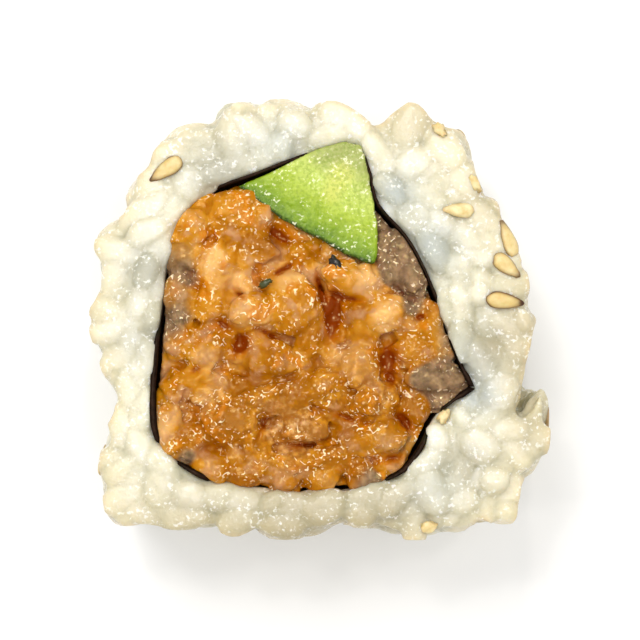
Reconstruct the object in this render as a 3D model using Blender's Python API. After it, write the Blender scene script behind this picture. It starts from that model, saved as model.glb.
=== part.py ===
"""Uramaki roll: one slice of an inside-out roll, lying flat on a knife cut.

Metres, +Z up along the roll's axis. The origin is the centre of the underside.
From the outside in: rice with sesame, a rolled sheet of nori, and inside it
chopped fish with a wedge of cucumber. Every layer runs through the slice.
"""

import math
import random

import bmesh
import bpy
from mathutils import Matrix, Vector

MM = 0.001

# Driving dimensions of the slice and its layers.
SLICE_HEIGHT = 24.0 * MM
GAP = 0.3 * MM
NORI_THICKNESS = 0.7 * MM
NORI_BOTTOM = 0.5 * MM
NORI_TOP = 22.7 * MM
NORI_TOP_WAVE = 0.3 * MM
NORI_WAVES = 7
NORI_SEAM = 0.5 * MM
RICE_CORE_TOP = 22.3 * MM
RICE_CORE_SINK = 1.2 * MM
FILLING_CORE_TOP = 22.2 * MM
CUCUMBER_TOP = 23.0 * MM
OUTLINE_SPACING = 1.7 * MM
CURVE_STEPS = 12
SHARPEST_MITRE = 0.5
BLOCK_SIZE = 80.0 * MM

# Rice grains and sesame seeds, at their real sizes.
GRAIN_LENGTH = 5.7 * MM
GRAIN_WIDTH = 3.0 * MM
GRAIN_HEIGHT = 2.7 * MM
GRAIN_SIZE_SPREAD = 0.14
GRAIN_SIDES = 5
TOP_GRAIN_RINGS = 3
SIDE_GRAIN_RINGS = 2
SEED_RINGS = 2
GRAIN_BLUNTNESS = 2.6
END_FULLNESS = 0.6
POLE_WIDTH = 0.001
GRAIN_ROW_PITCH = 3.15 * MM
GRAIN_ROW_STEP = 5.7 * MM
GRAIN_FIRST_ROW = 1.5 * MM
GRAIN_ROWS = 7
ROW_STAGGER = 0.16
GRAIN_DEPTH = 1.45 * MM
GRAIN_DEPTH_SPREAD = 0.35 * MM
GRAIN_STEEPEST = 50.0
GRAIN_TILT = 14.0
TOP_GRAIN_SPACING = 4.0 * MM
TOP_GRAIN_JITTER = 0.6 * MM
INNER_RING_OFFSET = 1.9 * MM
INNER_RING_STEP = 4.9 * MM
INNER_RING_WIDTH = 3.4 * MM
INNER_RING_TURN = 22.0
TOP_GRAIN_CENTRE = 22.45 * MM
TOP_GRAIN_LIFT = 0.25 * MM
TOP_GRAIN_TURN = 55.0
CLEARANCE = 0.1 * MM
CLEARING_STEPS = 8
SEED_LENGTH = 3.2 * MM
SEED_WIDTH = 1.9 * MM
SEED_HEIGHT = 1.1 * MM
SEED_TAPER = 0.45
SIDE_SEEDS = 14
SIDE_SEED_DEPTH = 0.15 * MM
SIDE_SEED_LOWEST = 3.0 * MM
SIDE_SEED_HIGHEST = 21.0 * MM
TOP_SEED_HEIGHT = 23.3 * MM

# Lumps of chopped fish that show at the cut.
LUMP_SPACING = 4.7 * MM
LUMP_JITTER = 0.9 * MM
LUMP_LENGTH = 6.2 * MM
LUMP_WIDTH = 4.7 * MM
LUMP_HEIGHT = 3.0 * MM
LUMP_SMALLEST = 0.9 * MM
LUMP_ROOM = 1.9 * MM
LUMP_CENTRE = 22.2 * MM
LUMP_SIZE_SPREAD = 0.25
LUMP_HEIGHT_SPREAD = 0.15
LUMP_SIDES = 6
LUMP_RINGS = 3
LUMP_BLUNTNESS = 2.2

GRAIN_SEED = 11
SEED_SEED = 23
LUMP_SEED = 37
GOLDEN_TURN = 0.618034
FULL_TURN = 2.0 * math.pi
FLAT_ANGLE = math.radians(1.0)
SHARP_ANGLE = math.radians(50.0)
STAGGERED_ROW = math.sin(math.radians(60.0))

# The rice's outer edge, anticlockwise from the right, in millimetres from the middle.
RICE_EDGE = (
    (21.2, 0.0), (20.4, 4.7), (17.9, 10.2), (15.7, 14.0), (14.2, 18.0), (9.6, 20.8),
    (5.9, 20.1), (1.4, 21.4), (-4.8, 21.7), (-10.0, 20.9), (-13.9, 18.9), (-16.8, 15.0),
    (-19.4, 10.6), (-22.0, 7.4), (-22.4, 1.0), (-21.9, -3.2), (-20.4, -8.8), (-21.7, -15.4),
    (-20.6, -20.2), (-10.2, -20.9), (-2.3, -21.5), (2.6, -20.6), (9.6, -21.4), (15.6, -19.9),
    (18.9, -20.0), (20.4, -15.6), (22.0, -12.0), (20.6, -7.9), (20.3, -4.2),
)

# The inside of the nori, anticlockwise from its pointed corner and back to it.
NORI_INSIDE = (
    (14.4, -6.5), (12.5, -2.0), (10.9, 2.6), (8.5, 7.5), (5.4, 11.2), (4.5, 14.6), (3.1, 17.0),
    (-0.6, 16.1), (-6.1, 14.0), (-11.4, 11.8), (-14.2, 7.2), (-15.3, 0.0), (-15.9, -7.8),
    (-15.1, -12.3), (-11.4, -14.9), (-5.3, -16.5), (2.5, -16.4), (7.1, -15.0), (9.3, -12.7),
    (11.2, -9.1), (14.4, -6.5),
)

# The cucumber wedge: its skin side from left to right, then its corner beyond the nori.
CUCUMBER_EDGE = (
    (-8.4, 13.6), (-5.5, 11.2), (-3.8, 10.0), (-1.3, 8.6), (0.7, 7.6), (2.7, 6.4), (5.3, 5.4),
    (5.7, 6.9), (5.6, 9.1), (5.4, 11.2), (5.6, 20.0), (-4.0, 20.0),
)

# Larger lumps of fish: x, y, length and width in millimetres, and the turn in degrees.
MAIN_LUMPS = (
    (-2.9, 2.4, 7.4, 6.4, 20.0), (2.6, 3.2, 5.2, 3.6, -35.0), (6.6, 1.5, 6.0, 4.2, -20.0),
    (-8.2, 8.6, 6.4, 4.8, 35.0), (-12.6, 6.6, 2.6, 5.6, 10.0), (11.0, -5.6, 4.6, 3.4, 35.0),
)

# Grains that stand out from the rest: x, y, z, length and width in millimetres, and the turn in degrees.
PROUD_GRAINS = (
    (21.9, -10.2, 22.4, 7.6, 2.2, 86.0), (21.6, -11.6, 20.2, 6.4, 2.4, 80.0),
    (9.0, 19.4, 22.5, 5.2, 3.2, 76.0), (2.7, 19.8, 22.6, 6.0, 3.2, -28.0),
    (-20.0, -18.8, 22.3, 5.0, 3.2, 62.0),
)

# Sesame seeds on the rice beside the cut: x and y in millimetres, and the turn in degrees.
TOP_SEEDS = (
    (-15.1, 14.8, 32.0), (13.6, 10.8, -4.0), (18.4, 8.1, -66.0), (18.4, 5.2, -40.0), (18.3, 1.9, -8.0),
)

RICE_COLOUR = (0.86, 0.83, 0.70, 1.0)
NORI_COLOUR = (0.012, 0.011, 0.009, 1.0)
FILLING_COLOUR = (0.55, 0.20, 0.035, 1.0)
CUCUMBER_COLOUR = (0.52, 0.68, 0.15, 1.0)
RICE_ROUGHNESS = 0.42
NORI_ROUGHNESS = 0.35
FILLING_ROUGHNESS = 0.22
CUCUMBER_ROUGHNESS = 0.3


def clear_scene():
    """Start from nothing."""
    for item in list(bpy.data.objects):
        bpy.data.objects.remove(item, do_unlink=True)


def material(name, colour, roughness):
    """A plain material for one layer."""
    finish = bpy.data.materials.new(name)
    finish.use_nodes = True
    shader = finish.node_tree.nodes["Principled BSDF"]
    shader.inputs["Base Color"].default_value = colour
    shader.inputs["Roughness"].default_value = roughness
    shader.inputs["Metallic"].default_value = 0.0
    return finish


def in_metres(corners):
    """Points given in millimetres, as vectors in metres."""
    return [Vector((x * MM, y * MM)) for x, y in corners]


def curve_point(before, start, end, after, share):
    """A point on the smooth curve from start to end, a share of the way along."""
    steady = 2.0 * start
    slope = (end - before) * share
    bend = (2.0 * before - 5.0 * start + 4.0 * end - after) * share ** 2
    twist = (after - before + 3.0 * (start - end)) * share ** 3
    return 0.5 * (steady + slope + bend + twist)


def smooth_loop(corners, sharp_start):
    """Even points along a smooth closed curve, which may have one sharp corner at its start."""
    points = in_metres(corners)
    if sharp_start:
        points = [points[0]] + points + [points[-1]]
    else:
        points = [points[-1]] + points + [points[0], points[1]]
    fine = []
    for before, start, end, after in zip(points, points[1:], points[2:], points[3:]):
        fine += [curve_point(before, start, end, after, step / CURVE_STEPS) for step in range(CURVE_STEPS)]
    return even_loop(fine)


def even_loop(points):
    """The same closed curve with its points spaced evenly, starting at the first."""
    sides = list(zip(points, points[1:] + points[:1]))
    length = sum((end - start).length for start, end in sides)
    count = round(length / OUTLINE_SPACING)
    spacing = length / count
    even = []
    travelled = 0.0
    for start, end in sides:
        side = (end - start).length
        while len(even) < count and len(even) * spacing <= travelled + side:
            share = (len(even) * spacing - travelled) / side if side else 0.0
            even.append(start.lerp(end, share))
        travelled += side
    return even


def outward(loop, index):
    """The outward direction at a point of an anticlockwise loop, longer where it turns sharply."""
    before = (loop[index] - loop[index - 1]).normalized()
    after = (loop[(index + 1) % len(loop)] - loop[index]).normalized()
    side = Vector((before.y + after.y, -before.x - after.x)).normalized()
    return side / max(side.dot(Vector((before.y, -before.x))), SHARPEST_MITRE)


def offset_loop(loop, distance):
    """The loop with each side moved outwards by a distance."""
    return [point + outward(loop, index) * distance for index, point in enumerate(loop)]


def nearest_on_loop(point, loop):
    """How far outside a loop a point lies, negative inside, and the way out there."""
    best = None
    inside = False
    for start, end in zip(loop, loop[1:] + loop[:1]):
        side = end - start
        share = min(max((point - start).dot(side) / side.length_squared, 0.0), 1.0)
        distance = (point - start - side * share).length
        if best is None or distance < best[0]:
            best = (distance, Vector((side.y, -side.x)).normalized())
        if (start.y > point.y) != (end.y > point.y):
            crossing = start.x + side.x * (point.y - start.y) / side.y
            inside = inside != (point.x < crossing)
    return (-best[0] if inside else best[0]), best[1]


def prism(loops, bottom, top):
    """A solid between two heights: the first loop is its edge, and any others are holes."""
    shape = bmesh.new()
    for loop in loops:
        corners = [shape.verts.new((point.x, point.y, bottom)) for point in loop]
        for start, end in zip(corners, corners[1:] + corners[:1]):
            shape.edges.new((start, end))
    bmesh.ops.triangle_fill(shape, use_beauty=True, use_dissolve=False, edges=shape.edges[:])
    lid = bmesh.ops.extrude_face_region(shape, geom=shape.faces[:])["geom"]
    raised = [part for part in lid if isinstance(part, bmesh.types.BMVert)]
    bmesh.ops.translate(shape, verts=raised, vec=(0.0, 0.0, top - bottom))
    bmesh.ops.recalc_face_normals(shape, faces=shape.faces[:])
    return shape


def rounded_body(sides, rings, size, bluntness, taper=0.0):
    """A faceted grain, seed or lump along X, tapered towards +X."""
    shape = bmesh.new()
    bmesh.ops.create_uvsphere(shape, u_segments=sides, v_segments=rings + 1, radius=1.0)
    bmesh.ops.rotate(shape, verts=shape.verts[:], matrix=Matrix.Rotation(math.pi / 2.0, 3, "Y"))
    length, width, height = size
    for corner in shape.verts:
        along = math.copysign(min(abs(corner.co.x), 1.0) ** END_FULLNESS, corner.co.x)
        around = math.hypot(corner.co.y, corner.co.z)
        girth = (1.0 - abs(along) ** bluntness) ** (1.0 / bluntness)
        girth *= 1.0 - taper * (1.0 + along) / 2.0
        swell = girth / around if around > POLE_WIDTH else 0.0
        corner.co = Vector((along * length, corner.co.y * swell * width, corner.co.z * swell * height)) / 2.0
    return shape


def frame_of(origin, along, outwards):
    """A placing whose X runs along a piece and whose Z points away from what it lies on."""
    away = outwards.normalized()
    ahead = (along - away * along.dot(away)).normalized()
    turn = Matrix((ahead, away.cross(ahead), away)).transposed().to_4x4()
    return Matrix.Translation(origin) @ turn


def tilted(draw):
    """A small seeded tilt."""
    lean = Matrix.Rotation(math.radians(draw.uniform(-GRAIN_TILT, GRAIN_TILT)), 4, "X")
    pitch = Matrix.Rotation(math.radians(draw.uniform(-GRAIN_TILT, GRAIN_TILT)), 4, "Y")
    return lean @ pitch


def uneven(draw, size, spread):
    """A size with each measure drawn a little larger or smaller."""
    return tuple(measure * draw.uniform(1.0 - spread, 1.0 + spread) for measure in size)


def object_from(shape, name, holder):
    """An object with the shape as its mesh, in a collection."""
    mesh = bpy.data.meshes.new(name)
    shape.to_mesh(mesh)
    shape.free()
    item = bpy.data.objects.new(name, mesh)
    holder.objects.link(item)
    return item


def apply_modifiers(item):
    """Keep the object's shape as its modifiers leave it."""
    graph = bpy.context.evaluated_depsgraph_get()
    mesh = bpy.data.meshes.new_from_object(item.evaluated_get(graph))
    item.modifiers.clear()
    item.data = mesh


def combine(item, shape, operation):
    """Cut or trim an object by a shape."""
    cutter = object_from(shape, item.name + "_cutter", bpy.context.scene.collection)
    joint = item.modifiers.new(operation.lower(), "BOOLEAN")
    joint.operation = operation
    joint.solver = "MANIFOLD"
    joint.object = cutter
    apply_modifiers(item)
    bpy.data.objects.remove(cutter, do_unlink=True)


def fuse(item, pieces):
    """Join a list of placed shapes to an object by one union."""
    holder = bpy.data.collections.new(item.name + "_pieces")
    bpy.context.scene.collection.children.link(holder)
    for number, shape in enumerate(pieces):
        object_from(shape, f"{item.name}_piece_{number}", holder)
    joint = item.modifiers.new("union", "BOOLEAN")
    joint.operation = "UNION"
    joint.solver = "MANIFOLD"
    joint.operand_type = "COLLECTION"
    joint.collection = holder
    apply_modifiers(item)
    for piece in list(holder.objects):
        bpy.data.objects.remove(piece, do_unlink=True)
    bpy.data.collections.remove(holder)


def island_from(face):
    """All the faces joined to one face by edges."""
    found = {face}
    waiting = [face]
    while waiting:
        for edge in waiting.pop().edges:
            fresh = [neighbour for neighbour in edge.link_faces if neighbour not in found]
            found.update(fresh)
            waiting += fresh
    return found


def keep_one_body(item):
    """Drop loose scraps and the walls of sealed hollows, and triangulate what is left."""
    shape = bmesh.new()
    shape.from_mesh(item.data)
    left = set(shape.faces)
    largest = set()
    while left:
        island = island_from(next(iter(left)))
        left -= island
        if len(island) > len(largest):
            largest = island
    scraps = [face for face in shape.faces if face not in largest]
    bmesh.ops.delete(shape, geom=scraps, context="FACES")
    bmesh.ops.dissolve_limit(
        shape, angle_limit=FLAT_ANGLE, verts=shape.verts[:], edges=shape.edges[:], delimit=set()
    )
    bmesh.ops.triangulate(shape, faces=shape.faces[:])
    shape.to_mesh(item.data)
    shape.free()


def side_grains(edge, hole, draw):
    """Rows of grains round the side, each lying along the rice's surface."""
    length = sum((end - start).length for start, end in zip(edge, edge[1:] + edge[:1]))
    in_row = round(length / GRAIN_ROW_STEP)
    grains = []
    for row in range(GRAIN_ROWS):
        for place in range(in_row):
            stagger = 0.5 * (row % 2) + draw.uniform(-ROW_STAGGER, ROW_STAGGER)
            spot, away = on_side(edge, (place + stagger) / in_row)
            height = GRAIN_FIRST_ROW + GRAIN_ROW_PITCH * (row + draw.uniform(-ROW_STAGGER, ROW_STAGGER))
            depth = GRAIN_DEPTH + draw.uniform(-GRAIN_DEPTH_SPREAD, GRAIN_DEPTH_SPREAD)
            slope = math.radians(draw.uniform(-GRAIN_STEEPEST, GRAIN_STEEPEST)) * draw.random()
            along = Vector((-away.y * math.cos(slope), away.x * math.cos(slope), math.sin(slope)))
            origin = Vector((spot.x - away.x * depth, spot.y - away.y * depth, height))
            shape = grain(draw, SIDE_GRAIN_RINGS)
            shape.transform(frame_of(origin, along, away.to_3d()) @ tilted(draw))
            if kept_clear(shape, hole):
                grains.append(shape)
    return grains


def on_side(edge, share):
    """A point a share of the way round the edge, and the way outwards there."""
    index = round((share % 1.0) * len(edge)) % len(edge)
    return edge[index], outward(edge, index).normalized()


def grain(draw, rings):
    """One rice grain at the origin."""
    size = uneven(draw, (GRAIN_LENGTH, GRAIN_WIDTH, GRAIN_HEIGHT), GRAIN_SIZE_SPREAD)
    return rounded_body(GRAIN_SIDES, rings, size, GRAIN_BLUNTNESS)


def scattered(loop, spacing, jitter, draw):
    """Points inside a loop on a staggered grid, each moved a little."""
    low_x = min(point.x for point in loop)
    low_y = min(point.y for point in loop)
    columns = int((max(point.x for point in loop) - low_x) / spacing) + 1
    row_pitch = spacing * STAGGERED_ROW
    rows = int((max(point.y for point in loop) - low_y) / row_pitch) + 1
    points = []
    for row in range(rows):
        for column in range(columns):
            x = low_x + spacing * (column + 0.5 * (row % 2))
            y = low_y + row_pitch * row
            point = Vector((x + draw.uniform(-jitter, jitter), y + draw.uniform(-jitter, jitter)))
            if nearest_on_loop(point, loop)[0] < 0.0:
                points.append(point)
    return points


def kept_clear(shape, hole):
    """Whether a placed grain could be moved out until all of it clears the hole."""
    for _ in range(CLEARING_STEPS):
        middles = [(edge.verts[0].co + edge.verts[1].co) / 2.0 for edge in shape.edges]
        spots = [point.to_2d() for point in [corner.co for corner in shape.verts] + middles]
        room, way = min((nearest_on_loop(spot, hole) for spot in spots), key=lambda near: near[0])
        if room >= CLEARANCE:
            return True
        bmesh.ops.translate(shape, verts=shape.verts[:], vec=(way * (1.5 * CLEARANCE - room)).to_3d())
    return False


def top_grain(spot, way, spread, draw):
    """A grain on the cut face, lying across the way out from the nori, give or take a spread of angles."""
    turn = math.atan2(way.x, -way.y) + math.radians(draw.uniform(-spread, spread))
    ahead = Vector((math.cos(turn), math.sin(turn), 0.0))
    origin = Vector((spot.x, spot.y, TOP_GRAIN_CENTRE + draw.uniform(-TOP_GRAIN_LIFT, TOP_GRAIN_LIFT)))
    shape = grain(draw, TOP_GRAIN_RINGS)
    shape.transform(frame_of(origin, ahead, Vector((0.0, 0.0, 1.0))) @ tilted(draw))
    return shape


def top_grains(edge, hole, draw):
    """Grains over the cut face of the rice: a ring beside the nori, and the rest spread evenly."""
    shapes = []
    ring = offset_loop(hole, INNER_RING_OFFSET)
    steps = round(len(ring) * OUTLINE_SPACING / INNER_RING_STEP)
    for step in range(steps):
        spot, away = on_side(ring, (step + draw.uniform(-ROW_STAGGER, ROW_STAGGER)) / steps)
        shapes.append(top_grain(spot, away, INNER_RING_TURN, draw))
    for spot in scattered(offset_loop(edge, -GRAIN_DEPTH), TOP_GRAIN_SPACING, TOP_GRAIN_JITTER, draw):
        room, way = nearest_on_loop(spot, hole)
        if room > INNER_RING_WIDTH:
            shapes.append(top_grain(spot, way, TOP_GRAIN_TURN, draw))
    return [shape for shape in shapes if kept_clear(shape, hole)]


def proud_grains():
    """The few long grains that give the outline its hook and corners."""
    grains = []
    for x, y, z, length, width, turn in PROUD_GRAINS:
        size = (length * MM, width * MM, GRAIN_HEIGHT)
        shape = rounded_body(GRAIN_SIDES, TOP_GRAIN_RINGS, size, GRAIN_BLUNTNESS)
        ahead = Vector((math.cos(math.radians(turn)), math.sin(math.radians(turn)), 0.0))
        origin = Vector((x, y, z)) * MM
        shape.transform(frame_of(origin, ahead, Vector((0.0, 0.0, 1.0))))
        grains.append(shape)
    return grains


def sesame_seed():
    """One teardrop seed at the origin."""
    size = (SEED_LENGTH, SEED_WIDTH, SEED_HEIGHT)
    return rounded_body(GRAIN_SIDES, SEED_RINGS, size, GRAIN_BLUNTNESS, SEED_TAPER)


def sesame(edge, draw):
    """Seeds beside the cut where they show, and more spread evenly round the side."""
    seeds = []
    for x, y, turn in TOP_SEEDS:
        ahead = Vector((math.cos(math.radians(turn)), math.sin(math.radians(turn)), 0.0))
        shape = sesame_seed()
        shape.transform(frame_of(Vector((x * MM, y * MM, TOP_SEED_HEIGHT)), ahead, Vector((0.0, 0.0, 1.0))))
        seeds.append(shape)
    for number in range(SIDE_SEEDS):
        spot, away = on_side(edge, (number + 0.5) / SIDE_SEEDS)
        height = SIDE_SEED_LOWEST + (SIDE_SEED_HIGHEST - SIDE_SEED_LOWEST) * ((number * GOLDEN_TURN) % 1.0)
        slope = draw.uniform(0.0, FULL_TURN)
        ahead = Vector((-away.y * math.cos(slope), away.x * math.cos(slope), math.sin(slope)))
        origin = Vector((spot.x - away.x * SIDE_SEED_DEPTH, spot.y - away.y * SIDE_SEED_DEPTH, height))
        shape = sesame_seed()
        shape.transform(frame_of(origin, ahead, away.to_3d()))
        seeds.append(shape)
    return seeds


def block_above_cut():
    """A block that holds all that lies above the lower knife cut."""
    shape = bmesh.new()
    bmesh.ops.create_cube(shape, size=BLOCK_SIZE)
    bmesh.ops.translate(shape, verts=shape.verts[:], vec=(0.0, 0.0, BLOCK_SIZE / 2.0))
    return shape


def make_rice(edge, hole):
    """The rice: a ring-shaped core, with the grains and seeds that show fused to it."""
    draw = random.Random(GRAIN_SEED)
    core_edge = offset_loop(edge, -RICE_CORE_SINK)
    rice = object_from(prism([core_edge, hole], 0.0, RICE_CORE_TOP), "rice", bpy.context.scene.collection)
    pieces = side_grains(edge, hole, draw) + top_grains(edge, hole, draw) + proud_grains()
    fuse(rice, pieces + sesame(edge, random.Random(SEED_SEED)))
    combine(rice, block_above_cut(), "INTERSECT")
    keep_one_body(rice)
    return rice


def open_run(loop):
    """A loop opened just past its first point, and run on round to that point."""
    return [loop[0].lerp(loop[1], NORI_SEAM / OUTLINE_SPACING)] + loop[1:] + [loop[0]]


def make_nori(inside):
    """The nori: one strip rolled round the filling, its two ends meeting at the pointed corner."""
    near = open_run(offset_loop(inside, GAP))
    far = open_run(offset_loop(inside, GAP + NORI_THICKNESS))
    strip = far + near[::-1]
    shape = prism([strip], NORI_BOTTOM, NORI_TOP)
    for corner in shape.verts:
        if corner.co.z > SLICE_HEIGHT / 2.0:
            heading = math.atan2(corner.co.y, corner.co.x)
            corner.co.z += NORI_TOP_WAVE * math.sin(NORI_WAVES * heading)
    return object_from(shape, "nori", bpy.context.scene.collection)


def make_cucumber(inside, wedge):
    """The cucumber: a wedge held against the inside of the nori."""
    cucumber = object_from(prism([wedge], 0.0, CUCUMBER_TOP), "cucumber", bpy.context.scene.collection)
    combine(cucumber, prism([inside], -GAP, SLICE_HEIGHT), "INTERSECT")
    keep_one_body(cucumber)
    return cucumber


def moved_in(spot, inside, wedge):
    """A lump's middle, moved away from the nori and the cucumber where it is too near them."""
    for loop, sense in ((inside, -1.0), (wedge, 1.0)):
        reach, way = nearest_on_loop(spot, loop)
        short = LUMP_ROOM - reach * sense
        if 0.0 < short < LUMP_ROOM:
            spot = spot + way * (short * sense)
    return spot


def lumps(inside, wedge, draw):
    """Lumps of chopped fish at the cut, each sized to the room that it has."""
    found = []
    for x, y, length, width, turn in MAIN_LUMPS:
        found.append((Vector((x * MM, y * MM)), length * MM, width * MM, turn))
    for spot in scattered(inside, LUMP_SPACING, LUMP_JITTER, draw):
        length, width = uneven(draw, (LUMP_LENGTH, LUMP_WIDTH), LUMP_SIZE_SPREAD)
        found.append((spot, length, width, math.degrees(draw.uniform(0.0, math.pi))))
    shapes = []
    for spot, length, width, turn in found:
        spot = moved_in(spot, inside, wedge)
        room = min(-nearest_on_loop(spot, inside)[0], nearest_on_loop(spot, wedge)[0]) - GAP
        height = uneven(draw, (LUMP_HEIGHT,), LUMP_HEIGHT_SPREAD)[0]
        if room < LUMP_SMALLEST:
            continue
        size = (min(length, 2.0 * room), min(width, 2.0 * room), height)
        shape = rounded_body(LUMP_SIDES, LUMP_RINGS, size, LUMP_BLUNTNESS)
        ahead = Vector((math.cos(math.radians(turn)), math.sin(math.radians(turn)), 0.0))
        shape.transform(frame_of(Vector((spot.x, spot.y, LUMP_CENTRE)), ahead, Vector((0.0, 0.0, 1.0))))
        shapes.append(shape)
    return shapes


def make_filling(inside, wedge):
    """The chopped fish: it fills the nori round the cucumber, and stands in lumps at the cut."""
    filling = object_from(prism([inside], 0.0, FILLING_CORE_TOP), "filling", bpy.context.scene.collection)
    combine(filling, prism([offset_loop(wedge, GAP)], -GAP, SLICE_HEIGHT), "DIFFERENCE")
    fuse(filling, lumps(inside, wedge, random.Random(LUMP_SEED)))
    keep_one_body(filling)
    return filling


def stand_on_origin(items):
    """Move the slice so that the centre of its underside is the origin."""
    corners = [corner.co for item in items for corner in item.data.vertices]
    low = Vector([min(corner[axis] for corner in corners) for axis in range(3)])
    high = Vector([max(corner[axis] for corner in corners) for axis in range(3)])
    centre = (low + high) / 2.0
    for item in items:
        item.data.transform(Matrix.Translation((-centre.x, -centre.y, -low.z)))


def finish(item, colour, roughness):
    """Give an object its material and its smooth shading."""
    item.data.materials.clear()
    item.data.materials.append(material(item.name, colour, roughness))
    item.data.shade_smooth()
    item.data.set_sharp_from_angle(angle=SHARP_ANGLE)


def build_roll():
    """Make every layer of the slice."""
    clear_scene()
    edge = smooth_loop(RICE_EDGE, sharp_start=False)
    inside = smooth_loop(NORI_INSIDE, sharp_start=True)
    wedge = in_metres(CUCUMBER_EDGE)
    hole = offset_loop(inside, 2.0 * GAP + NORI_THICKNESS)
    rice = make_rice(edge, hole)
    nori = make_nori(inside)
    filling = make_filling(inside, wedge)
    cucumber = make_cucumber(inside, wedge)
    stand_on_origin([rice, nori, filling, cucumber])
    finish(rice, RICE_COLOUR, RICE_ROUGHNESS)
    finish(nori, NORI_COLOUR, NORI_ROUGHNESS)
    finish(filling, FILLING_COLOUR, FILLING_ROUGHNESS)
    finish(cucumber, CUCUMBER_COLOUR, CUCUMBER_ROUGHNESS)


build_roll()
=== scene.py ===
"""The looks of an uramaki roll slice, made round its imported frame.

The slice lies on one knife cut with the other cut up, and the camera looks straight down on it.
"""

import math
import random

import bmesh
import bpy
import numpy as np
from mathutils import Matrix, Vector, noise


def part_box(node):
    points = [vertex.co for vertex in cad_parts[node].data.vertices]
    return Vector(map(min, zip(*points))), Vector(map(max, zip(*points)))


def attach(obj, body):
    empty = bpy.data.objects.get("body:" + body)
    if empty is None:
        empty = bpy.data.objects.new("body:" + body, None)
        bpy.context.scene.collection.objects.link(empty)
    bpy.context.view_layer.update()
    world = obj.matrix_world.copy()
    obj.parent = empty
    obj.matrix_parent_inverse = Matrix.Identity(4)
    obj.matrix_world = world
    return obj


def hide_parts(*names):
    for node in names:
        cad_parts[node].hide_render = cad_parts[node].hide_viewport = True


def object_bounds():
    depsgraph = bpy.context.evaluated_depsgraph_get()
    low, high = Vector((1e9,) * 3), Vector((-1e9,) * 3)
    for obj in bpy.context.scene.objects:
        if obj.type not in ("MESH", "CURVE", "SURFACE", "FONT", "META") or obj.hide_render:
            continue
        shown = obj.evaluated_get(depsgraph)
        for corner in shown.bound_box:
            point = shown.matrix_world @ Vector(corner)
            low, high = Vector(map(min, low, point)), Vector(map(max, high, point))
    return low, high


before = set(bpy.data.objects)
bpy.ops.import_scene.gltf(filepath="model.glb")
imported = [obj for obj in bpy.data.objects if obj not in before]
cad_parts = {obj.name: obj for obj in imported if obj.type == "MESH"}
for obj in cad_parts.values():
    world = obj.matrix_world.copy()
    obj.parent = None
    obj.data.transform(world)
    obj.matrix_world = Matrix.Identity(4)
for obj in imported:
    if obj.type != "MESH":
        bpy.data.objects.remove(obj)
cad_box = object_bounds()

MM = 0.001
UP = Vector((0.0, 0.0, 1.0))

# Heights of the layers above the lower knife cut.
RICE_CORE_TOP = 22.2 * MM
CUT_RELIEF = 0.65
FILLING_CORE_TOP = 21.5 * MM
FILLING_BLOCK_TOP = 18.4 * MM
CUCUMBER_TOP = 22.9 * MM
NORI_TOP = 22.9 * MM
NORI_BOTTOM = 0.5 * MM

# Layers seen from above.
GAP = 0.3 * MM
NORI_THICKNESS = 0.7 * MM
NORI_THIN = 0.22 * MM
NORI_EXTRA = 0.26 * MM
RICE_CORE_SINK = 0.7 * MM
NOTCH = (20.7, -6.6)
NOTCH_ROOM = 2.6 * MM
DRAW_IN = 0.9
OUTLINE_SPACING = 0.8 * MM
CURVE_STEPS = 12

# Rice grains at their real size.
GRAIN_LENGTH = 5.6 * MM
GRAIN_WIDTH = 2.9 * MM
GRAIN_HEIGHT = 2.5 * MM
SIDE_ROWS = 9
ROW_STEP = 2.4
STEEPEST = 75.0

# How fine each fused skin is.
RICE_FINENESS = 0.35 * MM
FISH_FINENESS = 0.2 * MM
CUCUMBER_FINENESS = 0.24 * MM

# The picture's scale, for the camera.
PIXELS_PER_MM = 10.2
IMAGE_PIXELS = 640
PHOTO_MIDDLE = (319.5, 320.0)
GLINTS = (
    (-0.05, 0.09, 0.3), (0.10, 0.05, 0.28), (-0.12, -0.03, 0.28), (0.03, -0.11, 0.3), (0.02, 0.17, 0.22),
)
LENS = 120.0
SENSOR = 36.0
SCALE_PLANE = 23.0 * MM

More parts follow.
